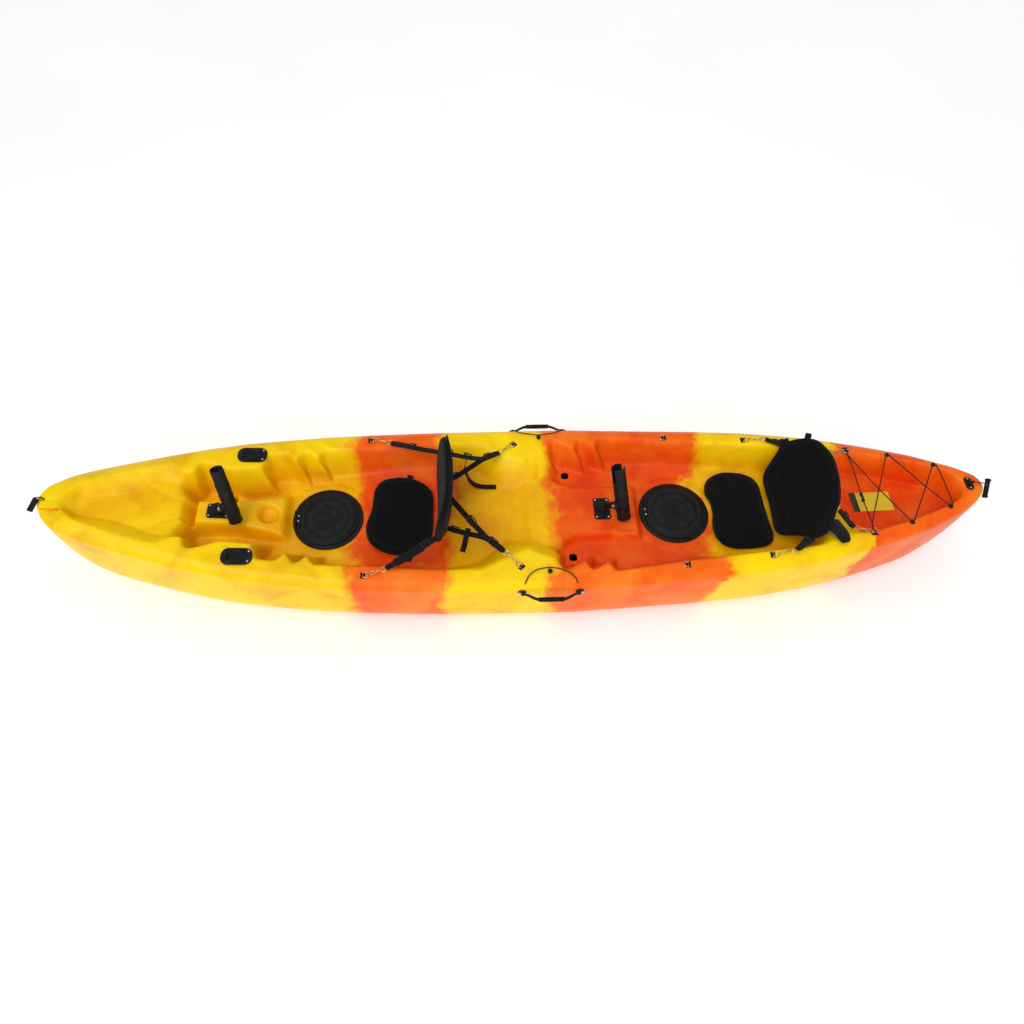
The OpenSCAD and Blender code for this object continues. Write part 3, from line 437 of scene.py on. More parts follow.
def tube(pts, r, n=12, closed=False, cap=True, squash=1.0):
    """a swept round tube; r is one radius or one for each point"""
    p = np.array(pts, float); m = len(p)
    rr = np.full(m, r, float) if np.isscalar(r) else np.asarray(r, float)
    t = (np.roll(p, -1, 0) - np.roll(p, 1, 0)) if closed else np.gradient(p, axis=0)
    t /= np.linalg.norm(t, axis=1)[:, None]
    u = np.cross(t[0], [0, 0, 1] if abs(t[0][2]) < .8 else [1, 0, 0]); u /= np.linalg.norm(u)
    us = [u]
    for i in range(1, m):
        u = us[-1] - t[i] * (us[-1] @ t[i]); us.append(u / np.linalg.norm(u))
    us = np.array(us); vs = np.cross(t, us)
    if closed:  # spread the twist left over at the join
        e = us[-1] - t[0] * (us[-1] @ t[0]); e /= np.linalg.norm(e)
        ang = math.atan2(e @ vs[0], e @ us[0])
        k = np.linspace(0, -ang, m)[:, None]
        us, vs = us * np.cos(k) + vs * np.sin(k), -us * np.sin(k) + vs * np.cos(k)
    a = np.linspace(0, 2 * np.pi, n, endpoint=False)
    v = (p[:, None] + rr[:, None, None] * (np.cos(a)[None, :, None] * us[:, None] + squash * np.sin(a)[None, :, None] * vs[:, None])).reshape(-1, 3)
    s = np.concatenate([[0], np.cumsum(np.linalg.norm(np.diff(p, axis=0), axis=1))]) / 1000
    uv = np.stack([np.repeat(s, n), np.tile(a / (2 * np.pi), m)], 1)
    f = []
    for i in range(m if closed else m - 1):
        k = (i + 1) % m
        for j in range(n): f.append([i * n + j, i * n + (j + 1) % n, k * n + (j + 1) % n, k * n + j])
    if cap and not closed:
        f.append([j for j in range(n)][::-1]); f.append([(m - 1) * n + j for j in range(n)])
    return v, f, uv
def ribbon(pts, w, th, up=(0, 0, 1), ups=None, n_edge=3):
    """flat webbing along pts, w wide, th thick, its face turned to up"""
    p = np.array(pts, float); m = len(p)
    t = np.gradient(p, axis=0); t /= np.linalg.norm(t, axis=1)[:, None]
    U = np.tile(np.array(up, float), (m, 1)) if ups is None else np.array(ups, float)
    s = np.cross(U, t); s /= np.linalg.norm(s, axis=1)[:, None]
    nrm = np.cross(t, s)
    ww = np.full(m, w, float) if np.isscalar(w) else np.asarray(w, float)
    sec = [(-.5, .28), (-.46, .5), (-.25, .5), (0, .5), (.25, .5), (.46, .5), (.5, .28), (.5, -.28), (.46, -.5), (.25, -.5), (0, -.5), (-.25, -.5), (-.46, -.5), (-.5, -.28)]
    k = len(sec)
    v = np.array([p[i] + s[i] * a * ww[i] + nrm[i] * b * th for i in range(m) for a, b in sec])
    d = np.concatenate([[0], np.cumsum(np.linalg.norm(np.diff(p, axis=0), axis=1))]) / 1000
    uv = np.array([(d[i], a * ww[i] / 1000) for i in range(m) for a, b in sec])
    f = [[i * k + j, i * k + (j + 1) % k, (i + 1) * k + (j + 1) % k, (i + 1) * k + j] for i in range(m - 1) for j in range(k)]
    f += [list(range(k))[::-1], [(m - 1) * k + j for j in range(k)]]
    return v, f, uv
def rrect(a, b, r, n=6):
    """outline of a rounded rectangle a by b"""
    out = []
    for cx, cy, s in ((a / 2 - r, b / 2 - r, 0), (-a / 2 + r, b / 2 - r, 90), (-a / 2 + r, -b / 2 + r, 180), (a / 2 - r, -b / 2 + r, 270)):
        for k in range(n + 1):
            w = rad(s + 90 * k / n); out.append((cx + r * math.cos(w), cy + r * math.sin(w)))
    return out
def slab(outline, z0, z1, b=1.0, crown=0.0):
    """a plate with that outline and rounded edges"""
    o = np.array(outline, float); n = len(o); c = o.mean(0)
    t = np.roll(o, -1, 0) - np.roll(o, 1, 0); nn = np.stack([t[:, 1], -t[:, 0]], 1); nn /= np.maximum(np.linalg.norm(nn, axis=1), 1e-9)[:, None]
    area = np.sum(o[:, 0] * np.roll(o[:, 1], -1) - o[:, 1] * np.roll(o[:, 0], -1))
    if area < 0: nn = -nn
    rings = [(b, z0), (b * .3, z0 + b * .3), (0, z0 + b), (0, z1 - b), (b * .3, z1 - b * .3), (b, z1)]
    v = [np.column_stack([o - nn * d, np.full(n, z)]) for d, z in rings]
    for q, dz in ((.66, crown * .6), (.33, crown * .9)):
        v.append(np.column_stack([c + (o - nn * b - c) * q, np.full(n, z1 + dz)]))
    v = np.vstack(v + [[[c[0], c[1], z0]], [[c[0], c[1], z1 + crown]]])
    f = [[i * n + j, i * n + (j + 1) % n, (i + 1) * n + (j + 1) % n, (i + 1) * n + j] for i in range(7) for j in range(n)]
    k = 8 * n
    f += [[k, (j + 1) % n, j] for j in range(n)] + [[k + 1, 7 * n + j, 7 * n + (j + 1) % n] for j in range(n)]
    return v, f
def screw_head(r=4.2, h=2.0, slot_r=None):
    """pan head with a cross recess"""
    n = 32; a = np.linspace(0, 2 * np.pi, n, endpoint=False)
    rings = [(r, 0), (r, h * .35), (r * .93, h * .7), (r * .75, h * .93), (r * .56, h), (r * .34, h), (r * .12, h)]
    v = []
    for rr, z in rings:
        d = np.zeros(n)
        if rr < r * .6: d = np.where(np.minimum(np.abs(np.cos(a)), np.abs(np.sin(a))) * rr < r * .14, -h * .5, 0)
        v.append(np.stack([rr * np.cos(a), rr * np.sin(a), z + d], 1))
    v = np.vstack(v + [[[0, 0, h * .45]], [[0, 0, 0]]])
    m = len(rings)
    f = [[i * n + j, i * n + (j + 1) % n, (i + 1) * n + (j + 1) % n, (i + 1) * n + j] for i in range(m - 1) for j in range(n)]
    f += [[m * n, (m - 1) * n + j, (m - 1) * n + (j + 1) % n] for j in range(n)] + [[m * n + 1, (j + 1) % n, j] for j in range(n)]
    return v, f

# ------------------------------------------------------------------ hull
def half_beam(x):
    return 384 * tab(x, [(-1880, 0.09), (-1850, 0.22), (-1790, 0.33), (-1720, 0.405), (-1570, 0.53), (-1420, 0.645), (-1270, 0.745), (-1110, 0.828),
        (-940, 0.885), (-780, 0.93), (-610, 0.96), (-440, 0.98), (-270, 0.995), (0, 1), (240, 0.998), (430, 0.97), (600, 0.945), (770, 0.92),
        (940, 0.88), (1020, 0.855), (1190, 0.785), (1350, 0.69), (1500, 0.58), (1650, 0.45), (1790, 0.28), (1850, 0.17), (1880, 0.08)])
def blur1(a, k):
    for _ in range(k): a = np.convolve(np.pad(a, 1, mode="edge"), [.25, .5, .25], "valid")
    return a
def inner_edge(x):
    return tab(x, [(-1880, 6), (-1800, 14), (-1780, 40), (-1735, 84), (-1600, 133), (-1440, 180), (-1400, 183), (-1352, 152), (-1303, 151), (-1288, 203), (-1262, 200), (-1165, 167), (-1035, 181), (-1018, 248), (-948, 256),
        (-913, 211), (-871, 269), (-826, 226), (-795, 273), (-605, 278), (-348, 297), (-150, 300), (-57, 257), (35, 216), (47, 216), (62, 232), (143, 262), (172, 318), (258, 261), (281, 318), (346, 270), (371, 322), (581, 294),
        (800, 274), (1000, 256), (1180, 242), (1235, 220), (1310, 205), (1345, 203), (1530, 160), (1722, 92), (1770, 62), (1795, 24), (1880, 4)])
def z_floor(x):
    return tab(x, [(-1800, z_rim(-1800)), (-1745, 378), (-1600, 362), (-1400, 350), (-1345, 344), (-1300, 238), (-1000, 234), (-930, 240), (-330, 240), (-240, 240), (-200, 250), (-40, 252), (35, 262), (60, 278), (150, 278),
        (190, 238), (490, 238), (515, 240), (1100, 240), (1150, 252), (1225, 350), (1310, 356), (1345, 286), (1740, 306), (1800, z_rim(1800))])
def z_mid(x):
    return tab(x, [(-1800, z_rim(-1800)), (-1745, 378), (-1600, 362), (-1400, 350), (-1345, 344), (-1290, 330), (-1180, 318), (-1000, 296), (-950, 284), (-922, 242), (-330, 240), (-240, 240), (-200, 250), (-40, 252), (35, 262), (60, 278), (150, 278), (220, 279),
        (250, 282), (495, 282), (516, 240), (1100, 240), (1150, 252), (1225, 350), (1310, 356), (1345, 286), (1740, 306), (1800, z_rim(1800))])
def mid_w(x):
    return tab(x, [(-1880, 2), (-1790, 5), (-1735, 24), (-1440, 60), (-1330, 50), (-1140, 54), (-960, 88), (-900, 110), (-620, 110), (0, 130), (60, 148), (180, 146), (250, 112), (530, 116), (900, 110), (1190, 90), (1400, 70), (1722, 30), (1790, 12), (1880, 1)])
def z_keel(x):
    a, s = np.maximum(np.abs(x) - 1000, 0) / 800, np.maximum(np.abs(x) - 1560, 0) / 320
    return 30 * a * a + 310 * s ** 3
SCUP = [(-1177, 108), (-1177, -108), (225, 200), (225, -200)]
HATCH = [-774, 664]

def build_hull():
    step = 6.0
    xs = np.linspace(-1880, 1880, int(3760 / step) + 1)
    n = len(xs)
    b = blur1(half_beam(xs), 10)
    cw = np.maximum(blur1(half_beam(xs) - tab(xs, [(-1880, 14), (-1790, 44), (-1500, 44), (-1100, 34), (-600, 30), (900, 30), (1500, 34), (1790, 30), (1880, 12)]), 10), 8)
    nc = 123
    S = np.linspace(-1, 1, nc)
    X, S2 = np.meshgrid(xs, S, indexing="ij")
    Y = cw[:, None] * S2
    a = np.abs(Y)
    zr = z_rim(X)
    # the foot ends of the wells are arcs, and the moulded steps lean aft as they go down
    arc = 92 * (np.minimum(a, 200) / 185) ** 1.6 * sm(-1520, -1440, X) * (1 - sm(-1300, -1230, X)) - 22 * sm(-1520, -1440, X) * (1 - sm(-1300, -1230, X))
    tank = -26 * (a / 160) ** 2 * sm(1290, 1340, X) * (1 - sm(1420, 1500, X))
    Xf = X + arc + tank
    r = np.minimum(inner_edge(X), cw[:, None] - 2)
    run = tab(X, [(-1880, 4), (-1780, 26), (-1600, 74), (-1400, 60), (-1330, 46), (-1290, 52), (-800, 58), (-600, 46), (-330, 46), (-200, 60), (-40, 120), (60, 112), (110, 70), (170, 60), (380, 58), (560, 46), (1100, 50), (1250, 60), (1345, 40), (1600, 34), (1770, 22), (1880, 3)])
    c = mid_w(X)
    for _ in range(2):
        base = np.maximum(r - run, c + 2)
        t = np.clip((a - base) / np.maximum(r - base, 1), 0, 1)
        lean = 52 * (1 - t) * (((X > -1240) & (X < -740)) | ((X > 110) & (X < 470)))
        r = np.minimum(inner_edge(X - lean), cw[:, None] - 2)
    zf, zm = z_floor(Xf), z_mid(X)
    zm = np.where(X < -1300, z_floor(np.where(np.abs(Y) < 48, X, Xf)), zm)
    base = np.maximum(r - run, c + 2)
    c2 = np.minimum(c + 14, base - 1)
    H = zm + (zf - zm) * np.clip((a - c) / np.maximum(c2 - c, 1), 0, 1)
    gut = 13 * sm(-640, -560, X) * (1 - sm(-300, -230, X)) + 13 * sm(520, 600, X) * (1 - sm(1040, 1100, X))
    H = H + gut * sm(0, 1, (a - (base - 62)) / 62) * (a > c2)
    H0 = zf + gut
    t = np.clip((a - base) / np.maximum(r - base, 1), 0, 1)
    H = np.where(a > base, H0 + (zr - H0) * t ** 0.92, H)
    H = np.where(a > r, zr - 4 * np.clip((a - r) / np.maximum(cw[:, None] - r, 1), 0, 1) ** 2, H)
    # hatch seats: a round flat with a raised lip round it
    for hx in HATCH:
        d = np.hypot(X - hx, Y)
        H = np.where(d < 158, np.minimum(H, 240.0), H)
        H = np.where((d >= 158) & (d < 172) & (H < 262), np.maximum(H, 240 + 5 * np.sin(np.pi * (d - 158) / 14)), H)
        d2 = np.hypot((X - hx) / 1.0, Y)
        H = H - 3.0 * np.exp(-((d2 - 184) / 4.5) ** 2) * (H < 262) * (X > hx - 150)
    # crease lines on the bow scoop, and the tongue between them
    for s in (-1, 1):
        yc = s * tab(X, [(-1540, 150), (-1500, 118), (-1440, 74), (-1385, 48), (-1300, 46)])
        on = sm(-1560, -1520, X) * (1 - sm(-1390, -1350, X))
        H = H - 5.0 * np.exp(-((Y - yc) / 8) ** 2) * on
        H = H + 7.0 * sm(0, 60, s * (Y - yc)) * on * (a < r - run)
    # front console: cup recess; rear console: boss and three recesses
    d = np.hypot(X + 1009, Y); H = H - (np.maximum(H - 267, 0)) * (1 - sm(34, 42, d)) + 1.6 * np.exp(-((d - 45) / 4) ** 2)
    pill = lambda cx, cy, hx, hy, rr: np.hypot(np.maximum(np.abs(X - cx) - hx, 0), np.maximum(np.abs(Y - cy) - hy, 0)) - rr
    H = H + 7 * (1 - sm(-5, 4, pill(276, 2, 0.1, 12, 17)))
    for q in (pill(466, 74, 9, 0.1, 18), pill(472, -10, 7, 0.1, 19), pill(450, -98 * 0.94, 22, 0.1, 15)):
        H = H - 11 * (1 - sm(-5, 4, q)) + 1.3 * np.exp(-((q - 4) / 3.5) ** 2)
    # middle platform: arched raised border and short grooves
    ar = np.hypot((X - 90) / 1.0, Y / 1.0)
    arch = X - (262 - 0.0021 * (Y + 20) ** 2)
    H = H + 4.0 * np.exp(-(arch / 9) ** 2) * (a < 140) * (X > 150)
    for (x0, y0, x1, y1) in ((20, 132, 48, 158), (30, -150, 56, -122)):
        tt = np.clip(((X - x0) * (x1 - x0) + (Y - y0) * (y1 - y0)) / ((x1 - x0) ** 2 + (y1 - y0) ** 2), 0, 1)
        dd = np.hypot(X - x0 - tt * (x1 - x0), Y - y0 - tt * (y1 - y0)); H = H - 3.5 * np.exp(-(dd / 4) ** 2)
    # ribs moulded into the footwell ends and the seat floors
    for k in range(3):
        H = H + 3.2 * np.exp(-((X + 1262 - 16 * k) / 4.0) ** 2) * (a > 70) * (a < 170) * (H < 300)
    for s in (-1, 1):
        yy = s * tab(X, [(520, 150), (640, 190), (760, 196), (900, 178), (1010, 150)])
        H = H - 3.0 * np.exp(-((Y - yy) / 4.5) ** 2) * sm(540, 600, X) * (1 - sm(960, 1020, X))
        H = H - 2.6 * np.exp(-((Y - yy - s * 14) / 4.5) ** 2) * sm(560, 640, X) * (1 - sm(880, 960, X))
    # tankwell: ring embossed on the floor, ledge along each side
    d = np.hypot(X - 1478, Y * 1.05); H = H + 1.8 * np.exp(-((d - 132) / 3.5) ** 2) * (a < r - run - 6) * (X > 1400)
    for s in (-1, 1):
        q = s * Y - tab(X, [(1345, 168), (1530, 128), (1722, 62), (1760, 45)])
        H = H + 9 * sm(-4, 6, q) * (X > 1360) * (X < 1740) * (a < r - 6)
    # fillets
    G = H.copy()
    for _ in range(3):
        P = np.pad(G, ((1, 1), (0, 0)), mode="edge"); G = .25 * P[:-2] + .5 * P[1:-1] + .25 * P[2:]
        P = np.pad(G, ((0, 0), (1, 1)), mode="edge"); G = .25 * P[:, :-2] + .5 * P[:, 1:-1] + .25 * P[:, 2:]
    H = G
    # painted shade mask: depth below the rim, 0 at the rim to 1 at 90 mm down, which darkens the colour in the wells
    recess_shade = np.clip((zr - 6 - H) / 90, 0, 1)
    # the rest of each section, gunwale round to gunwale
    rings, recess_shade_rows = [], []
    for i, x in enumerate(xs):
        zrx, zk = float(z_rim(x)), float(z_keel(x)); bb = b[i]; zs = zrx - 30; dd = zs - zk
        f = max(0, 1 - (abs(x) / 1900) ** 3); y0 = 170 * f * bb / 384; g = 12 * f
        half = [(cw[i] + 2, zrx - 4.6), ((cw[i] + bb) / 2 + 3, zrx - 12), (bb - 2.5, zrx - 22), (bb, zs - 4), (bb, zs - 26), (bb - 1, zk + dd * .7), (bb - 2.5, zk + dd * .56), (bb - 5, zk + dd * .42), (bb - 9, zk + dd * .33),
                (y0 + (bb - y0) * .9, zk + dd * .22), (y0 + (bb - y0) * .80, zk + dd * .12), (y0 + (bb - y0) * .66, zk + dd * .06), (y0 + (bb - y0) * .4, zk + dd * .025), (y0 + 6, zk + 1.5), (y0, zk), (y0 * .86, zk + 1.5), (y0 * .7, zk + g * .6), (y0 * .5, zk + g), (y0 * .3, zk + g * .6), (y0 * .12, zk + 1.5), (0, zk)]
        half = np.array(half)
        deck = np.column_stack([Y[i], H[i]])
        low = np.vstack([half, half[:-1][::-1] * [-1, 1]])
        ring = np.vstack([deck, low])
        rings.append(ring); recess_shade_rows.append(np.concatenate([recess_shade[i], np.zeros(len(low))]))
    rings = np.array(rings); recess_shade_rows = np.array(recess_shade_rows)
    # round the two ends
    for k, sc in enumerate((0.35, 0.72, 0.88, 0.96)):
        for i in (k, n - 1 - k):
            cen = rings[i].mean(0); rings[i] = cen + (rings[i] - cen) * sc
    m = rings.shape[1]
    V = np.zeros((n, m, 3)); V[:, :, 0] = xs[:, None]; V[:, :, 1:] = rings
    V = V.reshape(-1, 3)
    # pull the grid onto the rims of the round holes, then open them
    holes = [(hx, 0, 119.0, 200) for hx in HATCH] + [(x, y, 17.0, 200) for x, y in SCUP] + [(-1853, 0, 7.0, 300)]
    deckmask = np.zeros((n, m), bool); deckmask[:, :nc] = True; deckmask = deckmask.ravel()
    lowmask = np.zeros((n, m), bool); lowmask[:, nc:] = True; lowmask = lowmask.ravel()
    inside = np.zeros(len(V), bool); loops = []
    def open_hole(cx, cy, rr, mask, band):
        d = np.hypot(V[:, 0] - cx, V[:, 1] - cy)
        near = mask & (np.abs(d - rr) < band) & (d > 0.1)
        V[near, 0] = cx + (V[near, 0] - cx) * rr / d[near]; V[near, 1] = cy + (V[near, 1] - cy) * rr / d[near]
        inside[mask & (d < rr - band)] = True
        return near
    for (cx, cy, rr, zz) in holes[:6]:
        open_hole(cx, cy, rr, deckmask, 3.4)
    F = []
    idx = np.arange(n * m).reshape(n, m)
    A, B = idx[:-1], idx[1:]
    q = np.stack([A, np.roll(A, -1, 1), np.roll(B, -1, 1), B], -1).reshape(-1, 4)
    F = q[~inside[q].any(1)]
    # faces wholly on a snapped circle's inside are gone too
    cen = V[F].mean(1); top = deckmask[F].all(1)
    drop = np.zeros(len(F), bool)
    for (cx, cy, rr, zz) in holes[:6]:
        drop |= top & (np.hypot(cen[:, 0] - cx, cen[:, 1] - cy) < rr - 0.6)
    F = F[~drop]
    faces = F.tolist()
    verts = V.tolist(); recess_shade_vals = recess_shade_rows.ravel().tolist()
    matidx = [0] * len(faces)
    # end caps
    for i0, rev in ((0, False), ((n - 1) * m, True)):
        c = len(verts); ring = V[i0:i0 + m]; verts.append((ring[:, 0].mean() + (2 if rev else -2), ring[:, 1].mean(), ring[:, 2].mean())); recess_shade_vals.append(0)
        for j in range(m): faces.append([c, i0 + j, i0 + (j + 1) % m] if rev else [c, i0 + (j + 1) % m, i0 + j]); matidx.append(0)
    # turned-in edge of each opening: rings of the boundary go down by the wall, or to the keel for a scupper
    from collections import Counter
    ec = Counter()
    for f in faces:
        for k in range(len(f)):
            e = (f[k], f[(k + 1) % len(f)]); ec[(min(e), max(e))] += 1
    border = [e for e, c in ec.items() if c == 1]
    VV = np.array(verts)
    ha = []
    for (cx, cy, rr, zz) in holes[:6]:
        es = [e for e in border if abs(np.hypot(VV[e[0], 0] - cx, VV[e[0], 1] - cy) - rr) < 5 and abs(np.hypot(VV[e[1], 0] - cx, VV[e[1], 1] - cy) - rr) < 5]
        vs = sorted({v for e in es for v in e})
        depths = [6.0] if rr > 100 else [4, 40, 120, 180, 236.5]
        prev = {v: v for v in vs}
        for dz in depths:
            cur = {}
            for v in vs:
                p = VV[v]; d = math.hypot(p[0] - cx, p[1] - cy)
                zt = p[2] - dz if rr > 100 else max(p[2] - dz, 1.2)
                # the turned-in walls of the openings get the full painted shade
                cur[v] = len(verts); verts.append((cx + (p[0] - cx) * rr / d, cy + (p[1] - cy) * rr / d, zt)); recess_shade_vals.append(1)
            for e in es: faces.append([prev[e[0]], prev[e[1]], cur[e[1]], cur[e[0]]]); matidx.append(1 if (rr < 100 and cx > 0) else 0)
            prev = cur
    o = obj("hull_shell", verts, faces, "hull", "kayak", "hull_plastic", ("hull",), mats=["hull", "bore"], mat_idx=matidx, angle=50)
    at = o.data.attributes.new("recess_shade", "FLOAT", "POINT"); at.data.foreach_set("value", np.asarray(recess_shade_vals, np.float32))
    return o
build_hull()

# ------------------------------------------------------------------ kept CAD nodes: rounded edges and detailed finishes
def dress(node, mat, bevel=0.0006, seg=2):
    o = frame["nodes"][node]
    o.data.materials.clear(); o.data.materials.append(M[mat])
    w = o.modifiers.new("weld", "WELD"); w.merge_threshold = 0.00002
    if bevel:
        b = o.modifiers.new("bevel", "BEVEL"); b.width = bevel; b.segments = seg; b.limit_method = "ANGLE"; b.angle_limit = rad(38)
        b.harden_normals = False; b.use_clamp_overlap = True
    if hasattr(o.data, "set_sharp_from_angle"): o.data.set_sharp_from_angle(angle=rad(40))
for nd, mt, bv in (("front_hatch_rim", "plastic", .0008), ("rear_hatch_rim", "plastic", .0008), ("front_hatch_gasket", "rubber", .0006), ("rear_hatch_gasket", "rubber", .0006),
        ("front_hatch_pin", "steel", .0005), ("rear_hatch_pin", "steel", .0005), ("flush_holder_port", "plastic", .0008), ("flush_holder_starboard", "plastic", .0008),
        ("flush_hinges", "plastic", .0005), ("front_rod_base", "plastic", .0010), ("rear_rod_base", "plastic", .0010), ("front_rod_arm", "plastic", .0009), ("rear_rod_arm", "plastic", .0009),
        ("front_rod_tube", "plastic", .0008), ("rear_rod_tube", "plastic", .0008), ("pad_eyes", "plastic", .0004), ("seat_rings", "brass", 0), ("free_ring_port", "brass", 0),
        ("free_ring_starboard", "brass", 0), ("bungee_eyelets", "plastic", .0004), ("stern_plate", "plastic", .0006), ("keeper_knobs", "plastic", .0010)):
    dress(nd, mt, bv)

# ------------------------------------------------------------------ screws and rivets
def screws(name, places, r, h, body, node, mat="steel", slot="steel"):
    g = Geo()
    for i, m in enumerate(places):
        v, f = screw_head(r, h); g.add(v, f, m @ R("z", 37.0 * i))
    g.build(name, mat, body, slot, (node,), angle=28)
screws("hatch_screw_heads", [T(x, 0, 0) @ R("z", 22.5 + 45 * k) @ T(134.5, 0, 245.75) for x in HATCH for k in range(8)], 4.0, 2.0, "kayak", "hatch_screws", mat="plastic", slot="black_plastic")
screws("flush_screw_heads", [on_rim(-1086, s * 240) @ T(44, k * 22, 4.35) for s in (-1, 1) for k in (-1, 1)], 4.2, 2.0, "kayak", "flush_screws")
rod_at = [(-1205, 321.4, 5.5), (357, 282.4, 0.0)]
def rod_place(k): return T(rod_at[k][0], 0, rod_at[k][1]) @ R("y", rod_at[k][2])
BH = [(44, 33), (33, 50)]
screws("rod_base_screw_heads", [rod_place(k) @ T(i * (BH[k][0] - 9), j * (BH[k][1] - 9), 6.35) for k in (0, 1) for i in (-1, 1) for j in (-1, 1)], 4.2, 2.0, "kayak", "rod_base_screws")
pads = [(-603, 322), (5, 296), (978, 278), (1390, 203)]
screws("pad_eye_rivet_heads", [on_rim(x, s * y, 2.32) @ R("z", 90 if x == 1390 else 0) @ T(0, k * 10, 0) for s in (-1, 1) for x, y in pads + [(647, 306)] for k in (-1, 1)], 2.4, 0.7, "kayak", "pad_eye_rivets")
screws("stern_screw_heads", [on_rim(1822, 0, 3.75) @ T(0, k * 21, 0) for k in (-1, 1)], 4.0, 2.0, "kayak", "stern_screws")
screws("handle_screw_heads", [T(115 + k * 120, s * 390.05, 308) @ R("x", -90 * s) for s in (-1, 1) for k in (-1, 1)], 6.4, 2.4, "kayak", "handle_screws")

# ------------------------------------------------------------------ hatch lids
def build_lid(name, hx, body, node):
    g = Geo()
    prof = [(1, 258.6), (30, 258.9), (60, 259.0), (82, 259.0), (84, 257.6), (86, 257.2), (93, 257.2), (95, 257.8), (96.5, 261.0), (100, 261.5), (108, 261.5), (111, 261.2), (113.5, 259.6), (117, 257.2), (121, 255.4), (124, 254.6), (126.3, 253.6), (127, 252.2), (127, 250.8), (126, 249.7), (118, 249.6), (60, 249.6), (1, 249.6)]
    v, f = lathe(prof, 256)
    a = np.arctan2(v[:, 1], v[:, 0]); r = np.hypot(v[:, 0], v[:, 1])
    grip = (r > 111) & (r < 125.5) & (v[:, 2] > 253)
    v[grip, 2] += 0.7 * np.clip(np.sin(a[grip] * 64) * 1.6, -1, 1) * np.sin(np.pi * (r[grip] - 111) / 14.5)
    g.add(v, f, T(hx, 0, 0))
    # raised ring and low spokes inside the dished middle
    for rr, hh in ((70, .9), (34, .8)):
        v, f = lathe([(rr - 1.6, 258.6), (rr - 1.0, 258.9 + hh), (rr + 1.0, 258.9 + hh), (rr + 1.6, 258.6)], 128, closed=True); g.add(v, f, T(hx, 0, 0))
    for k in range(12):
        v, f = slab(rrect(26, 1.8, .8), 258.5, 259.6, .4); g.add(v, f, T(hx, 0, 0) @ R("z", 30 * k + 15) @ T(52, 0, 0))
    # hinge barrel, leaf and its screws
    v, f = lathe([(3.1, -21), (4.6, -21), (5, -20.4), (5, -7.4), (4.5, -7), (4.5, -6.6), (5, -6.2), (5, 6.2), (4.5, 6.6), (4.5, 7), (5, 7.4), (5, 20.4), (4.6, 21), (3.1, 21)], 40, closed=True)
    g.add(v, f, T(hx - 134, 0, 254.4) @ R("x", 90))
    v, f = slab(rrect(20, 42, 3), 252.0, 255.2, .7); g.add(v, f, T(hx - 122.5, 0, 0))
    v, f = slab(rrect(17, 38, 3), 255.0, 256.4, .6); g.add(v, f, T(hx - 120, 0, 0))
    for k in (-1, 1):
        v, f = screw_head(3.6, 1.6); g.add(v, f, T(hx - 120, k * 12, 256.3) @ R("z", 25 * k), mi=1)
    g.build(name, "lid", body, "black_plastic", (node,), mats=["lid", "steel"], angle=30)
build_lid("front_hatch_cover", HATCH[0], "front_lid", "front_hatch_lid")
build_lid("rear_hatch_cover", HATCH[1], "rear_lid", "rear_hatch_lid")

# ------------------------------------------------------------------ flush holder caps and tube details
def build_cap(name, s, body, node):
    g = Geo()
    v, f = lathe([(1, 4.6), (27, 4.6), (29.3, 5.0), (30, 6.0), (30, 8.4), (29.3, 9.4), (27.5, 9.7), (25.2, 9.9), (24.3, 11.6), (23, 12.5), (20.5, 12.6), (19.5, 12.0), (18, 11.4), (8, 11.2), (1, 11.2)][::-1], 128)
    a = np.arctan2(v[:, 1], v[:, 0]); r = np.hypot(v[:, 0], v[:, 1])
    kn = (r > 23.5) & (r < 30.5) & (v[:, 2] > 5.5); v[kn, :2] *= (1 - 0.012 * (np.sin(a[kn] * 30) > 0))[:, None]
    g.add(v, f, T(3, 0, 0))
    v, f = slab(rrect(40, 7, 3.2), 11.0, 12.7, .6); g.add(v, f, T(3, 0, 0) @ R("z", 90))
    v, f = slab(rrect(20, 16, 2.5), 5.0, 9.6, .8); g.add(v, f, T(-27.5, 0, 0))
    v, f = slab(rrect(12, 16, 3), 5.0, 8.6, .8); g.add(v, f, T(34, 0, 0))
    v, f = lathe([(2.1, -8), (4, -8), (4.4, -7.5), (4.4, 7.5), (4, 8), (2.1, 8)], 40, closed=True); g.add(v, f, T(-40, 0, 9) @ R("x", 90))
    G2 = Geo(); m = on_rim(-1086, s * 240)
    G2.v = [apply(m, np.vstack(g.v))]; G2.uv = [np.vstack(g.uv)]; G2.f = g.f; G2.mi = g.mi; G2.n = g.n
    G2.build(name, "plastic", body, "black_plastic", (node,), angle=30)
build_cap("flush_cap_moulding_port", -1, "cap_port", "flush_cap_port")
build_cap("flush_cap_moulding_starboard", 1, "cap_starboard", "flush_cap_starboard")

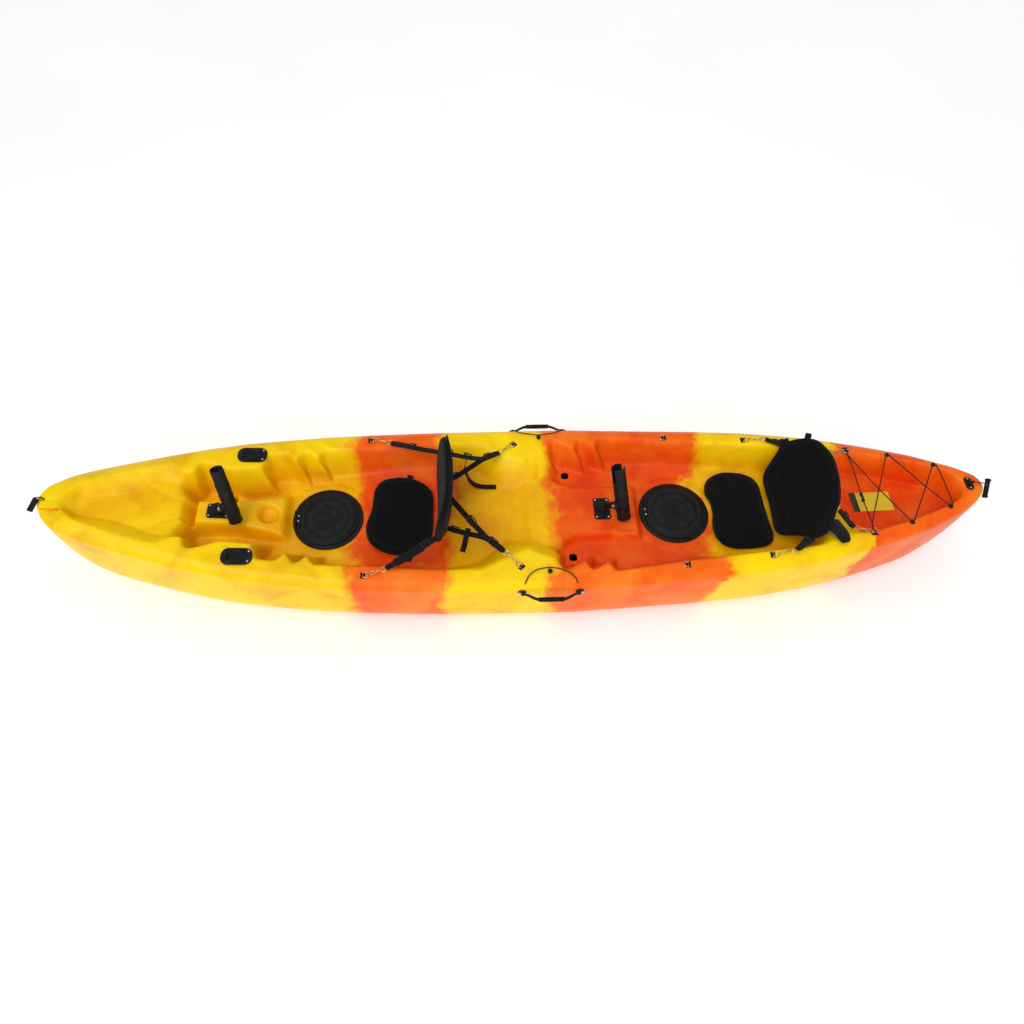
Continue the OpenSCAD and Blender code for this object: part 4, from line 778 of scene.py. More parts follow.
def tube_place(k): return rod_place(k) @ T(64.6, -28.5, 100) @ R("z", 29.9) @ R("x", -23.6)
def build_tube_trim(name, k, body):
    """rolled collars and grip ribs on each rod tube; the cross bolt head is built apart, by build_bolt"""
    g = Geo()
    for z, w, rr in ((-79, 5, 28.2), (-40, 3, 27.9), (-30, 3, 27.9), (40, 3, 27.9), (50, 3, 27.9), (98, 5, 28.3)):
        v, f = lathe([(26.6, z - w / 2), (rr - .4, z - w / 2), (rr, z - w / 2 + .5), (rr, z + w / 2 - .5), (rr - .4, z + w / 2), (26.6, z + w / 2)], 96, closed=True); g.add(v, f)
    for w in (70, 110, 250, 290):
        v, f = slab(rrect(2.4, 66, 1.1), 26.5, 28.1, .5); g.add(v, f, R("z", w - 90) @ T(0, 0, 5) @ np.array([[1, 0, 0, 0], [0, 0, 1, 0], [0, 1, 0, 0], [0, 0, 0, 1.0]]))
    G2 = Geo(); G2.v = [apply(tube_place(k), np.vstack(g.v))]; G2.uv = [np.vstack(g.uv)]; G2.f, G2.mi, G2.n = g.f, g.mi, g.n
    G2.build(name, "plastic", body, "black_plastic", angle=30)
build_tube_trim("front_rod_tube_trim", 0, "front_holder")
build_tube_trim("rear_rod_tube_trim", 1, "rear_holder")
def build_bolt(name, k, body, node):
    g = Geo(); m = rod_place(k) @ T(64.6, -28.5, 100) @ R("z", 29.9) @ T(-49, 0, 0) @ R("y", 90)
    hexa = [(7.6 * math.cos(rad(60 * i + 30)), 7.6 * math.sin(rad(60 * i + 30))) for i in range(6)]
    hexa = [((1 - t) * hexa[i][0] + t * hexa[(i + 1) % 6][0], (1 - t) * hexa[i][1] + t * hexa[(i + 1) % 6][1]) for i in range(6) for t in (0, .5)]
    v, f = slab(hexa, 0.2, 5.8, .7); g.add(v, f, m)
    v, f = lathe([(1, 5.6), (7.6, 5.6), (8, 6.0), (8, 7.3), (7.6, 7.6), (1, 7.6)], 48); g.add(v, f, m)
    g.build(name, "steel", body, "steel", (node,), angle=30)
build_bolt("front_rod_bolt_head", 0, "front_swivel", "front_rod_bolt")
build_bolt("rear_rod_bolt_head", 1, "rear_swivel", "rear_rod_bolt")

# ------------------------------------------------------------------ padded pieces
def inset_dist(outline, pts):
    """distance from each point to the closed outline, positive inside"""
    o = np.array(outline); a, b = o, np.roll(o, -1, 0); d = b - a; L = np.maximum((d ** 2).sum(1), 1e-9)
    out = np.full(len(pts), 1e9); ins = np.zeros(len(pts), bool)
    for i in range(len(o)):
        t = np.clip(((pts - a[i]) @ d[i]) / L[i], 0, 1)
        out = np.minimum(out, np.hypot(*(pts - a[i] - t[:, None] * d[i]).T))
        c = (a[i, 1] > pts[:, 1]) != (b[i, 1] > pts[:, 1])
        xi = a[i, 0] + (pts[:, 1] - a[i, 1]) / (b[i, 1] - a[i, 1] + 1e-12) * d[i, 0]
        ins ^= c & (pts[:, 0] < xi)
    return np.where(ins, out, -out)
def seg_dist(pts, line):
    out = np.full(len(pts), 1e9)
    for a, b in zip(line[:-1], line[1:]):
        a, b = np.array(a, float), np.array(b, float); d = b - a
        t = np.clip(((pts - a) @ d) / max(d @ d, 1e-9), 0, 1); out = np.minimum(out, np.hypot(*(pts - a - t[:, None] * d).T))
    return out
def co_of(me):
    a = np.zeros(len(me.vertices) * 3); me.vertices.foreach_get("co", a); return a.reshape(-1, 3)
def pad(name, ctrl, t, place, body, node, seam_in=22, lines=(), cap=7.0, bend=None, flat_bottom=False, floor_lim=None, grooves=2.6):
    """a stuffed piece: its outline (u, v) in mm lies in the piece's own plane, w is through the thickness"""
    out = spline([(a, b, 0) for a, b in ctrl], 120, closed=True)[:, :2]
    v, f = slab(out, -t / 2 + 3, t / 2 - 4, b=7)
    me = bpy.data.meshes.new(name); me.from_pydata([tuple(p / 1000) for p in v], [], f); me.update()
    bm = bmesh.new(); bm.from_mesh(me); bmesh.ops.recalc_face_normals(bm, faces=bm.faces[:]); bm.to_mesh(me); bm.free()
    o = bpy.data.objects.new(name, me); scene.collection.objects.link(o)
    rm = o.modifiers.new("remesh", "REMESH"); rm.mode = "VOXEL"; rm.voxel_size = 0.006
    def bake():
        dg = bpy.context.evaluated_depsgraph_get(); n = bpy.data.meshes.new_from_object(o.evaluated_get(dg)); o.modifiers.clear(); old = o.data; o.data = n; bpy.data.meshes.remove(old)
    bake()
    base = co_of(o.data)
    cl = o.modifiers.new("cloth", "CLOTH"); s = cl.settings
    s.use_pressure = True; s.uniform_pressure_force = 4.0; s.effector_weights.gravity = 0.0; s.quality = 5; s.mass = 0.3
    s.tension_stiffness = 15; s.compression_stiffness = 15; s.bending_stiffness = 0.5
    cl.point_cache.frame_start = 1; cl.point_cache.frame_end = 24
    for fr in range(1, 21): scene.frame_set(fr)
    dg = bpy.context.evaluated_depsgraph_get(); ev = o.evaluated_get(dg); new = co_of(ev.data).copy()
    o.modifiers.clear(); scene.frame_set(1)
    mv = new - base; L = np.linalg.norm(mv, axis=1); k = np.minimum(1, cap / 1000 / np.maximum(L, 1e-9)); new = base + mv * k[:, None]
    o.data.vertices.foreach_set("co", new.ravel()); o.data.update()
    sb = o.modifiers.new("sub", "SUBSURF"); sb.levels = 1; sb.render_levels = 1
    bake()
    p = co_of(o.data) * 1000
    # seams: a border channel all round both faces, any cross channels, and soft puckers beside them
    d = inset_dist(out, p[:, :2]); top = np.where(p[:, 2] > 0, 1.0, -1.0)
    groove = grooves * np.exp(-((d - seam_in) / 3.0) ** 2)
    for ln in lines: groove = np.maximum(groove, grooves * np.exp(-(seg_dist(p[:, :2], ln) / 3.0) ** 2) * (d > seam_in - 3))
    ang = np.arctan2(p[:, 1] - p[:, 1].mean(), p[:, 0] - p[:, 0].mean())
    per = ang * 190
    puck = 0.5 * np.sin(per / 7.0 + 1.3 * np.sin(per / 31)) * np.exp(-((d - seam_in) / 9.0) ** 2)
    wave = 1.1 * np.sin(p[:, 0] / 43 + 1.7) * np.sin(p[:, 1] / 37 + .6) * np.clip(d / 40, 0, 1)
    on = np.clip(np.abs(p[:, 2]) / (t * .25), 0, 1)
    p[:, 2] += top * on * (puck + wave - groove)
    if flat_bottom: p[:, 2] = np.maximum(p[:, 2], -t / 2 + 0.4 * np.clip(1 - d / 10, 0, 1))
    p[:, 2] = np.clip(p[:, 2], -t / 2 - (0 if flat_bottom else 3.5), t / 2 + 4.5)
    uv = np.column_stack([p[:, 0], p[:, 1]]) / 1000
    # welt round the edge, with stitches just inside it on both faces
    def tf(q):
        q = np.array(q, float)
        if bend is not None: q = bend(q)
        return apply(place, q)
    me = o.data
    li = np.zeros(len(me.loops), np.int32); me.loops.foreach_get("vertex_index", li)
    for l in list(me.uv_layers): me.uv_layers.remove(l)
    lay = me.uv_layers.new(name="plan"); lay.data.foreach_set("uv", uv[li].astype(np.float32).ravel())
    w = tf(p); me.vertices.foreach_set("co", (w / 1000 + OFF).ravel()); me.update()
    me.materials.clear(); me.materials.append(M["seat"]); me.polygons.foreach_set("use_smooth", np.ones(len(me.polygons), bool))
    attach(o, body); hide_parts(node)
    # where the swollen side really is, all round: the widest point of the mesh along each spoke
    ring = []
    cen = out.mean(0)
    A = np.arctan2(p[:, 1] - cen[1], p[:, 0] - cen[0]); rr = np.hypot(p[:, 0] - cen[0], p[:, 1] - cen[1])
    for q in out[::2]:
        a0 = math.atan2(q[1] - cen[1], q[0] - cen[0]); dd = np.abs((A - a0 + np.pi) % (2 * np.pi) - np.pi) < 0.035
        r0 = rr[dd].max() if dd.any() else np.hypot(*(q - cen)); ring.append((cen[0] + math.cos(a0) * (r0 - .6), cen[1] + math.sin(a0) * (r0 - .6), 0))
    ring = spline(ring, 260, closed=True)
    v, f, uu = tube(ring, 2.3, 8, closed=True); v = tf(v)
    e = obj(name + "_welt", v, f, "piping", body, "seat_fabric", uv=uu, angle=None)
    # stitches
    from mathutils.bvhtree import BVHTree
    bv = BVHTree.FromPolygons([tuple(q) for q in p], [tuple(pl.vertices) for pl in me.polygons])
    g = Geo()
    cr = spline([(a, b, 0) for a, b in ctrl], 400, closed=True)[:, :2]
    tg = np.roll(cr, -1, 0) - np.roll(cr, 1, 0); nn = np.stack([-tg[:, 1], tg[:, 0]], 1); nn /= np.linalg.norm(nn, axis=1)[:, None]
    area = np.sum(cr[:, 0] * np.roll(cr[:, 1], -1) - cr[:, 1] * np.roll(cr[:, 0], -1))
    if area < 0: nn = -nn
    paths = [cr + nn * (seam_in + sgn * 3.6) for sgn in (-1, 1)] + [cr + nn * 7.0]
    for ln in lines: paths.append(spline([(a, b, 0) for a, b in ln], 60)[:, :2])
    sides = (1,) if flat_bottom else (1, -1)
    for sd in sides:
        for path in paths:
            s = np.concatenate([[0], np.cumsum(np.linalg.norm(np.diff(path, axis=0), axis=1))])
            for k in np.arange(0, s[-1], 6.0):
                a = np.array([np.interp(k, s, path[:, 0]), np.interp(k, s, path[:, 1])]); b = np.array([np.interp(k + 3.6, s, path[:, 0]), np.interp(k + 3.6, s, path[:, 1])])
                hs = []
                for q in (a, (a + b) / 2, b):
                    h = bv.ray_cast(Vector((q[0], q[1], 60 * sd)), Vector((0, 0, -sd)))
                    if h[0] is None: break
                    hs.append((q[0], q[1], h[0][2] + 0.12 * sd))
                if len(hs) == 3:
                    v, f, uu = tube(hs, 0.42, 5); g.add(v, f, None, uu)
    G2 = Geo(); G2.v = [tf(np.vstack(g.v))]; G2.uv = [np.vstack(g.uv)]; G2.f, G2.mi, G2.n = g.f, g.mi, g.n
    G2.build(name + "_stitching", "thread", body, "seat_fabric", angle=None)
    return o, bv, out

M["thread"] = mat_plastic("thread", (46, 46, 50), rough=0.7, grain=900, depth=0.0002, wear=False)
FC = [(-612, -90), (-616, -40), (-600, 30), (-592, 90), (-584, 140), (-556, 178), (-510, 192), (-452, 192), (-396, 172), (-356, 138), (-340, 92), (-336, 0), (-341, -84), (-366, -140), (-420, -176), (-480, -188), (-544, -172), (-592, -136)]
RC = [(806, 92), (828, 152), (876, 184), (930, 189), (990, 178), (1032, 146), (1047, 92), (1051, -60), (1050, -134), (1020, -179), (930, -191), (862, -183), (822, -148), (808, -92), (816, -20), (816, 40)]
zc = 240.4 + 19
pad("front_cushion", [(a, b) for a, b in FC], 38, T(0, 0, zc), "kayak", "front_seat_cushion", lines=(), flat_bottom=True, cap=6.5)
pad("rear_cushion", [(a, b) for a, b in RC], 38, T(0, 0, zc), "kayak", "rear_seat_cushion", lines=(), flat_bottom=True, cap=6.5)
BK = [(0, 4), (70, 4), (130, 8), (164, 28), (190, 66), (207, 116), (213, 168), (212, 212), (198, 250), (168, 276), (120, 287), (60, 289), (0, 286)]
BK = BK + [(-a, b) for a, b in BK[-2:0:-1]]
# the piece's own plane is (y, height); its thickness runs along the boat
def back_place(p, tilt):
    m = np.eye(4); m[:3, 0] = (0, 1, 0); m[:3, 1] = (0, 0, 1); m[:3, 2] = (1, 0, 0)
    return T(*p) @ R("y", tilt) @ T(0, 0, 3) @ m
def curl(star, port=None):
    port = star if port is None else port
    def f(q):
        q = q.copy(); q[:, 2] -= np.where(q[:, 0] < 0, port, star) * (np.abs(q[:, 0]) / 216) ** 2.2; return q
    return f
FCURL, RCURL = curl(19, 33), curl(26, 22)
RB = [(0, -9), (-70, -10), (-126, -6), (-160, 16), (-190, 84), (-222, 130), (-224, 174), (-178, 214), (-134, 240), (-96, 264), (-15, 286), (50, 292), (116, 289), (185, 264), (222, 228), (240, 168), (236, 120), (213, 84), (182, 42), (146, 4), (90, -8)][::-1]
PF, PR = (-305, 0, 285), (1058, 0, 285)
FP, RP = back_place(PF, 8), back_place(PR, 50)
fb, fbv, _ = pad("front_backrest", BK, 34, FP, "front_back", "front_seat_back", lines=([(-168, 70), (-60, 58), (60, 58), (168, 70)],), cap=6.0, bend=FCURL)
rb, rbv, _ = pad("rear_backrest", RB, 34, RP, "rear_back", "rear_seat_back", lines=([(-168, 70), (-60, 58), (60, 58), (168, 70)],), cap=6.0, bend=RCURL)

# ------------------------------------------------------------------ webbing, buckles, snap hooks
def my(p, s): return np.array([p[0], s * p[1], p[2]], float)
def blended(g, name, mat, slot, a, b, body_b, replaces=(), mats=None, **kw):
    o = g.build(name, mat, None, slot, replaces, mats=mats, **kw)
    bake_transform(o)
    return o
def strip(g, pts, w=25.0, th=2.2, n=40, up=(0, 0, 1), ups=None, mi=0):
    p = spline(pts, n)
    v, f, uv = ribbon(p, w, th, up, ups); g.add(v, f, None, uv, mi)
def bar_tack(g, m, w=20, rows=3, mi=1):
    """a sewn box: rows of thread across the webbing"""
    for k in range(rows):
        x = (k - (rows - 1) / 2) * 5
        pts = [(x + (1.0 if j % 2 else -1.0), -w / 2 + w * j / 12, 0) for j in range(13)]
        v, f, uv = tube(pts, .42, 5); g.add(v, f, m, uv, mi)
def ladder(g, m, w=32, L=34, mi=0):
    """a three-bar ladder lock in the strap's own frame"""
    for s in (-1, 1):
        v, f, uv = tube([(-L / 2, s * (w / 2 - 2.2), 1.2), (-L / 4, s * (w / 2 - 1.6), 3.2), (L / 4, s * (w / 2 - 1.6), 4.4), (L / 2, s * (w / 2 - 2.4), 6.4)], 2.4, 10); g.add(v, f, m, uv, mi)
    for x, z, r in ((-L / 2, 1.2, 2.6), (-1, 3.2, 2.2), (L / 2, 6.4, 2.8)):
        v, f, uv = tube([(x, -w / 2 + 1.6, z), (x, 0, z + .4), (x, w / 2 - 1.6, z)], r, 10, squash=.8); g.add(v, f, m, uv, mi)
    v, f = slab(rrect(9, w - 6, 2), 5.8, 8.2, .6); g.add(v, f, m @ T(L / 2 - 5, 0, 0) @ R("y", 12), mi=mi)
def snap(g, p, q, mi=0):
    """a snap hook between the ring at p and the strap at q: bow, gate, body and swivel eye"""
    m = along(p, q); L = float(np.linalg.norm(np.array(q, float) - np.array(p, float)))
    v, f, uv = tube(spline([(13, 2.6, 0), (7, 5.6, 0), (0, 6.6, 0), (-6, 4.6, 0), (-8, 0, 0), (-6, -4.6, 0), (0, -6.4, 0), (5, -6.2, 0)], 40), 1.7, 10); g.add(v, f, m, uv, mi)
    v, f, uv = tube([(4.6, -6.2, 0), (9, -4.6, 0), (14, -2.4, 0)], 1.2, 8); g.add(v, f, m, uv, mi)
    v, f = lathe([(.3, 11), (2.6, 11.4), (3.6, 13), (3.6, 15), (2.9, 16), (2.9, 18), (3.8, 19), (4.0, L * .55), (3.6, L * .6), (2.4, L * .62), (.3, L * .62)], 32)
    g.add(v, f, m @ R("y", 90) @ R("z", 0), mi=mi)
    v, f, uv = tube([(L * .6, 0, 0), (L * .72, 0, 0)], 1.9, 10); g.add(v, f, m, uv, mi)
    e = [(L * .72, -3, 0), (L * .76, -8, 0), (L * .86, -10, 0), (L + 5, -10.4, 0), (L + 7.4, -8, 0), (L + 7.4, 8, 0), (L + 5, 10.4, 0), (L * .86, 10, 0), (L * .76, 8, 0), (L * .72, 3, 0)]
    v, f, uv = tube(spline(e, 56, closed=True), 1.6, 8, closed=True); g.add(v, f, m, uv, mi)
def loop_end(g, p, d, w=20, L=36, mi=0, up=(0, 0, 1)):
    """webbing turned back through the eye and sewn down, from the eye at p along d"""
    d = np.array(d, float); d /= np.linalg.norm(d); U = np.array(up, float); n = U - d * (U @ d); n /= np.linalg.norm(n); p = np.array(p, float)
    pts = [p + d * L - n * 1.4, p + d * (L * .5) - n * 1.6, p + d * 4 - n * 2.6, p - d * .6 - n * 1.6, p - d * 2.4, p - d * .6 + n * 1.6, p + d * 4 + n * 2.6, p + d * (L * .5) + n * 1.6, p + d * L + n * 1.3]
    q = spline(pts, 44); t = np.gradient(q, axis=0); t /= np.linalg.norm(t, axis=1)[:, None]; s = np.cross(n, d); ups = np.cross(t, s)
    v, f, uv = ribbon(q, w, 2.0, ups=ups); g.add(v, f, None, uv, mi)
    m = np.eye(4); m[:3, 0] = d; m[:3, 1] = s; m[:3, 2] = n; m[:3, 3] = p + d * (L - 9) + n * 2.7
    bar_tack(g, m, w - 4, 3, 1)

HK = {"front_seat_hooks": [((-569, 318, 362), (-520, 301, 364)), ((-20, 273, 361), (-56, 241, 366))], "rear_seat_hooks": [((1012, 277, 379.5), (1062, 267, 387)), ((1366, 190, 396.5), (1317, 181, 401.5))]}
for node, prs in HK.items():
    g = Geo()
    for s in (-1, 1):
        for p, q in prs: snap(g, my(p, s), my(q, s))
    g.build(node.replace("hooks", "snap_hooks"), "brass", "kayak", "brassy_steel", (node,), angle=40)

def back_pt(place, bendf, q):
    v = np.array([q], float); v = bendf(v); return apply(place, v)[0]
WM = ["web", "thread", "plastic"]
# front seat, forward straps: far one plain, near one in a padded sleeve
for s, nm in ((1, "starboard"), (-1, "port")):
    q = my((-520, 301, 364), s); a = q + my((13, -5, 1), s)
    edge = back_pt(FP, FCURL, (s * 205, 128, -6))
    g = Geo(); d = edge - a
    loop_end(g, q + my((7, -3, .4), s), d, 20, 40)
    P = [a + d * .06, a + d * .3 + [0, 0, -1], a + d * .62 + [0, 0, -2], a + d * .9, edge + [0, -s * 3, 0]]
    strip(g, P, 24, 2.2, 44)
    if s < 0:
        # two layers of sleeve with a rolled edge, and the loose end
        sl = spline([a + d * .13, a + d * .4 + [0, 0, -1], a + d * .74 + [0, 0, -1]], 40); w = np.interp(np.linspace(0, 1, 40), [0, .06, .94, 1], [22, 34, 34, 24])
        v, f, uv = ribbon(sl, w, 9.0, (0, 0, 1)); g.add(v, f, None, uv, 0)
        for e in (-1, 1):
            sv = np.cross([0, 0, 1], d); sv /= np.linalg.norm(sv)
            v, f, uv = tube(sl[2:-2] + sv * e * 16.4, 1.8, 8); g.add(v, f, None, uv, 0)
        strip(g, [a + d * .24 + [0, 0, -4], a + d * .38 + [2, -10, -5], a + d * .50 + [0, -26, -7]], 22, 2.2, 20)
    else:
        strip(g, [a + d * .05 + [0, 0, 2.4], a + d * .2 + [0, 0, 2.4], a + d * .36 + [0, 0, 2.2]], 24, 2.2, 20)
    m = along(a, edge); ladder(g, m @ T(float(np.linalg.norm(d)) * (.8 if s < 0 else .42), 0, 1.5), mi=2)
    blended(g, "front_seat_fore_strap_" + nm, "web", "webbing", a + d * .15, edge, "front_back", ("front_seat_straps",) if s > 0 else ("front_seat_buckles",), mats=WM, angle=40)
# front seat, aft straps: each splits in two behind the back, with hanging loose ends
ends = {1: [(172, 168, 19), (86, 96, 19)], -1: [(-30, 150, 19), (-120, 70, 19)]}
for s, nm in ((1, "starboard"), (-1, "port")):
    q = my((-56, 241, 366), s)
    up, lo = (back_pt(FP, FCURL, e) for e in ends[s])
    fork = my((-132, 190, 384), s) if s > 0 else np.array([-128, -186, 385.])
    a = q + my((-8, -7, 1), s)
    g = Geo(); d0 = fork - a
    loop_end(g, q + my((-5, -5, .6), s), d0, 20, 40)
    strip(g, [a + d0 * .06, a + d0 * .5, fork], 25, 2.2, 24)
    strip(g, [a + d0 * .1 + [0, 0, 2.5], a + d0 * .5 + [0, 0, 2.7], fork + [0, 0, 2.7]], 25, 2.2, 24)
    m = along(a, fork); ladder(g, m @ T(float(np.linalg.norm(d0)) * .62, 0, 3.6), mi=2)
    for e, sg in ((up, 1), (lo, -1)):
        dv = e - fork
        strip(g, [fork - d0 * .12, fork + dv * .1 + [0, 0, sg], fork + dv * .5 + [0, 0, -3], fork + dv * .85 + [0, 0, -1], e], 23, 2.2, 40)
    mu = along(fork, up); Lu = float(np.linalg.norm(up - fork)); ladder(g, mu @ T(Lu * .42, 0, .6), mi=2)
    ml = along(fork, lo); Ll = float(np.linalg.norm(lo - fork)); ladder(g, ml @ T(Ll * .78, 0, .6), w=30, L=30, mi=2)
    bar_tack(g, mu @ T(10, 0, 2.2), 18, 3)
    blended(g, "front_seat_aft_strap_" + nm, "web", "webbing", fork + (up - fork) * .15, up, "front_back", (), mats=WM, angle=40)
    # the loose end: hangs off the lock and lies in the well
    g = Geo()
    if s > 0: T1 = [(-198, 178, 404), (-206, 152, 372), (-196, 150, 330), (-186, 150, 292), (-168, 146, 268), (-140, 140, 259.5), (-108, 138, 257.4), (-74, 137, 257.4)]
    else: T1 = [(-196, -152, 402), (-206, -182, 388), (-214, -214, 376), (-222, -236, 366)]
    pp = spline(T1, 50); t = np.gradient(pp, axis=0); t /= np.linalg.norm(t, axis=1)[:, None]
    side = np.tile(np.array([.25, .97, 0]) if s > 0 else np.array([.95, -.3, 0.]), (50, 1)); side -= t * (side * t).sum(1)[:, None]; ups = np.cross(t, side)
    ups *= np.where(ups[-1, 2] < 0, -1, 1)
    v, f, uv = ribbon(pp, 22, 2.2, ups=ups); g.add(v, f, None, uv, 0)
    g.build("front_seat_strap_tail_" + nm, "web", "kayak", "webbing", mats=WM, angle=40)
# webbing sewn down the rear face of the front back, with the cross strap and its keeper
g = Geo()
for x0 in (-120, 120):
    line = [back_pt(FP, FCURL, (x0 * (1 if k < 3 else .96), v0, 20.5)) for k, v0 in enumerate((30, 90, 150, 210, 262))]
    v, f, uv = ribbon(spline(line, 40), 25, 2.0, up=(1, 0, .1)); g.add(v, f, None, uv, 0)
line = [back_pt(FP, FCURL, (x0, 150 + 6 * math.cos(x0 / 60), 23.0)) for x0 in (-178, -120, -60, 0, 60, 120, 178)]
v, f, uv = ribbon(spline(line, 50), 25, 2.0, up=(1, 0, .1)); g.add(v, f, None, uv, 0)
g.build("front_back_webbing", "web", "front_back", "webbing", mats=WM, angle=40)
# small webbing tabs at the top corners of both backs and at the corner of the front cushion
def tab_loop(name, place, bendf, u, v0, outw, body, ln=22):
    g = Geo()
    c = np.array([u, v0, 0.]); o2 = np.array([outw[0], outw[1], 0.]); o2 /= np.linalg.norm(o2); sd = np.array([-o2[1], o2[0], 0.])
    pts = [c - o2 * 8 + [0, 0, 3], c + o2 * (ln * .6) + [0, 0, 3.6], c + o2 * ln + [0, 0, 0], c + o2 * (ln * .6) + [0, 0, -3.6], c - o2 * 8 + [0, 0, -3]]
    q = spline(pts, 36); t = np.gradient(q, axis=0); t /= np.linalg.norm(t, axis=1)[:, None]; ups = np.cross(t, np.tile(sd, (36, 1)))
    v, f, uv = ribbon(q, 22, 2.0, ups=ups); v = bendf(v) if bendf else v
    g.add(apply(place, v), f, None, uv, 0); g.build(name, "web", body, "webbing", mats=WM, angle=40)
tab_loop("front_back_tab_starboard", FP, FCURL, 150, 283, (.35, 1), "front_back", 20)
tab_loop("rear_back_tab_starboard", RP, RCURL, 236, 138, (1, .1), "rear_back", 18)
tab_loop("rear_back_tab_middle", RP, RCURL, 224, 224, (.9, .6), "rear_back", 16)
tab_loop("front_cushion_tab", T(0, 0, zc), None, -440, 188, (.15, 1), "kayak", 16)

# rear seat straps
for s, nm in ((1, "starboard"), (-1, "port")):
    q = my((1062, 267, 387), s); a = q + my((12, -3, 1), s)
    edge = back_pt(RP, RCURL, (228 if s > 0 else -208, 126, 4))
    g = Geo(); d = edge - a
    loop_end(g, q + my((7, -1, .6), s), d, 20, 34)
    strip(g, [a + d * .05, a + d * .5 + [0, 0, -1], a + d * .92, edge], 24, 2.2, 30)
    strip(g, [a + d * .2 + [0, 0, 2.5], a + d * .6 + [0, s * 2, 3], a + d * .9 + [0, s * 8, 4], a + d * .8 + [0, s * 26, 6]] if s > 0 else [a + d * .2 + [0, 0, 2.5], a + d * .5 + [0, -4, 5], a + d * .8 + [0, -8, 4], a + d * .98 + [4, -6, 2]], 23, 2.2, 24)
    ladder(g, along(a, edge) @ T(float(np.linalg.norm(d)) * .5, 0, 3), w=30, L=30, mi=2)
    blended(g, "rear_seat_fore_strap_" + nm, "web", "webbing", a + d * .15, edge, "rear_back", ("rear_seat_straps",) if s > 0 else ("rear_seat_buckles",), mats=WM, angle=40)
    q = my((1317, 181, 401.5), s); a = q + my((-12, -2, .4), s)
    end = back_pt(RP, RCURL, (s * (118 if s < 0 else 158), 244, 20))
    g = Geo(); d = end - a
    loop_end(g, q + my((-7, -1, .4), s), d, 20, 24)
    strip(g, [a + d * .04, a + d * .5 + [0, 0, -1], end], 24, 2.2, 24)
    ladder(g, along(a, end) @ T(float(np.linalg.norm(d)) * .62, 0, 2.2), w=30, L=26, mi=2)
    blended(g, "rear_seat_aft_strap_" + nm, "web", "webbing", a + d * .2, end, "rear_back", (), mats=WM, angle=40)
# the wide flap behind the rear back on the port side: two layers, rounded end
g = Geo()
fl = [back_pt(RP, RCURL, (-150, 205, 19)), np.array([1224, -178, 420.]), np.array([1246, -206, 412.]), np.array([1258, -232, 405.]), np.array([1262, -248, 400.])]
pp = spline(fl, 30); w = np.interp(np.linspace(0, 1, 30), [0, .2, .8, .93, 1], [58, 66, 52, 42, 24])
v, f, uv = ribbon(pp, w, 4.0, (0, 0, 1)); g.add(v, f, None, uv, 0)
v, f, uv = ribbon(pp[4:-3] + [0, 0, 3.2], w[4:-3] * .5, 2.2, (0, 0, 1)); g.add(v, f, None, uv, 0)
g.build("rear_back_flap", "web", "rear_back", "webbing", mats=WM, angle=40)

# ------------------------------------------------------------------ carry handles and paddle keepers
def handle(s, nm, body, node):
    g = Geo()
    hy = s * (384 + 10); hs = 111
    # trunnions and bent arms of one moulding, then a ribbed grip
    arm = [(-hs + 2, 0, 0), (-hs + 14, s * 2, 0), (-hs + 26, s * 7, 0), (-hs + 42, s * 16, 0), (-hs + 58, s * 22.5, 0), (-hs + 78, s * 24, 0), (0, s * 24.6, 0)]
    full = arm + [(-x, y, z) for x, y, z in arm[-2::-1]]
    sp = spline(full, 120); r = np.interp(np.abs(sp[:, 0]), [0, hs - 64, hs - 58, hs - 40, hs - 22, hs - 8, hs], [6.4, 6.4, 6.2, 5.6, 5.0, 3.6, 3.4])
    v, f, uv = tube(sp, r, 20, squash=.86); g.add(v, f, T(115, hy, 308), uv)
    n = 150; x = np.linspace(-(hs - 62), hs - 62, n); rr = 9.0 + .75 * np.sign(np.sin((x + 3) * 2 * np.pi / 7.4)) * np.clip(np.abs(np.sin((x + 3) * 2 * np.pi / 7.4)) * 3, 0, 1)
    rr = rr * np.clip(1.0 + .06 * np.cos(x / (hs - 62) * np.pi / 2), 0, 1.1); rr[:4] = [6.6, 8.2, 9.2, 9.8]; rr[-4:] = [9.8, 9.2, 8.2, 6.6]
    v, f, uv = tube(np.column_stack([x, np.full(n, s * 24.0), 0 * x]), rr, 28, squash=.92); g.add(v, f, T(115, hy, 308), uv, 1)
    g.build("side_handle_grip_" + nm, "plastic", body, "black_plastic", (node,), mats=["plastic", "rubber"], angle=30)
handle(-1, "port", "handle_port", "side_handle_port"); handle(1, "starboard", "handle_starboard", "side_handle_starboard")
g = Geo()
for s in (-1, 1):
    for k in (-1, 1):
        m = T(115 + k * 111, s * 384.6, 308) @ R("x", -90 * s)
        v, f = lathe([(1, 0), (15.4, 0), (16, .7), (16, 3.0), (15.2, 4.4), (13, 5), (1, 5)][::-1], 72); g.add(v, f, m)
        # bridge over the trunnion, open below it
        pts = [(k * -4, y, z) for y, z in ((-7.6, 4), (-7.4, 8), (-5.2, 12.2), (0, 14.4), (5.2, 12.2), (7.4, 8), (7.6, 4))]
        for dx in (-5, -2, 1, 4, 7): 
            v, f, uv = tube(np.array(spline(pts, 24)) + [-k * dx, 0, 0], 1.9, 8); g.add(v, f, m, uv)
g.build("handle_mount_mouldings", "plastic", "kayak", "black_plastic", ("handle_pads",), angle=30)
KP = [[14, -370, 344], [20, -356, 352], [34, -334, 354], [62, -314, 355], [98, -306, 355], [124, -306, 355], [158, -314, 355], [188, -328, 354], [208, -350, 352], [216, -370, 344]]
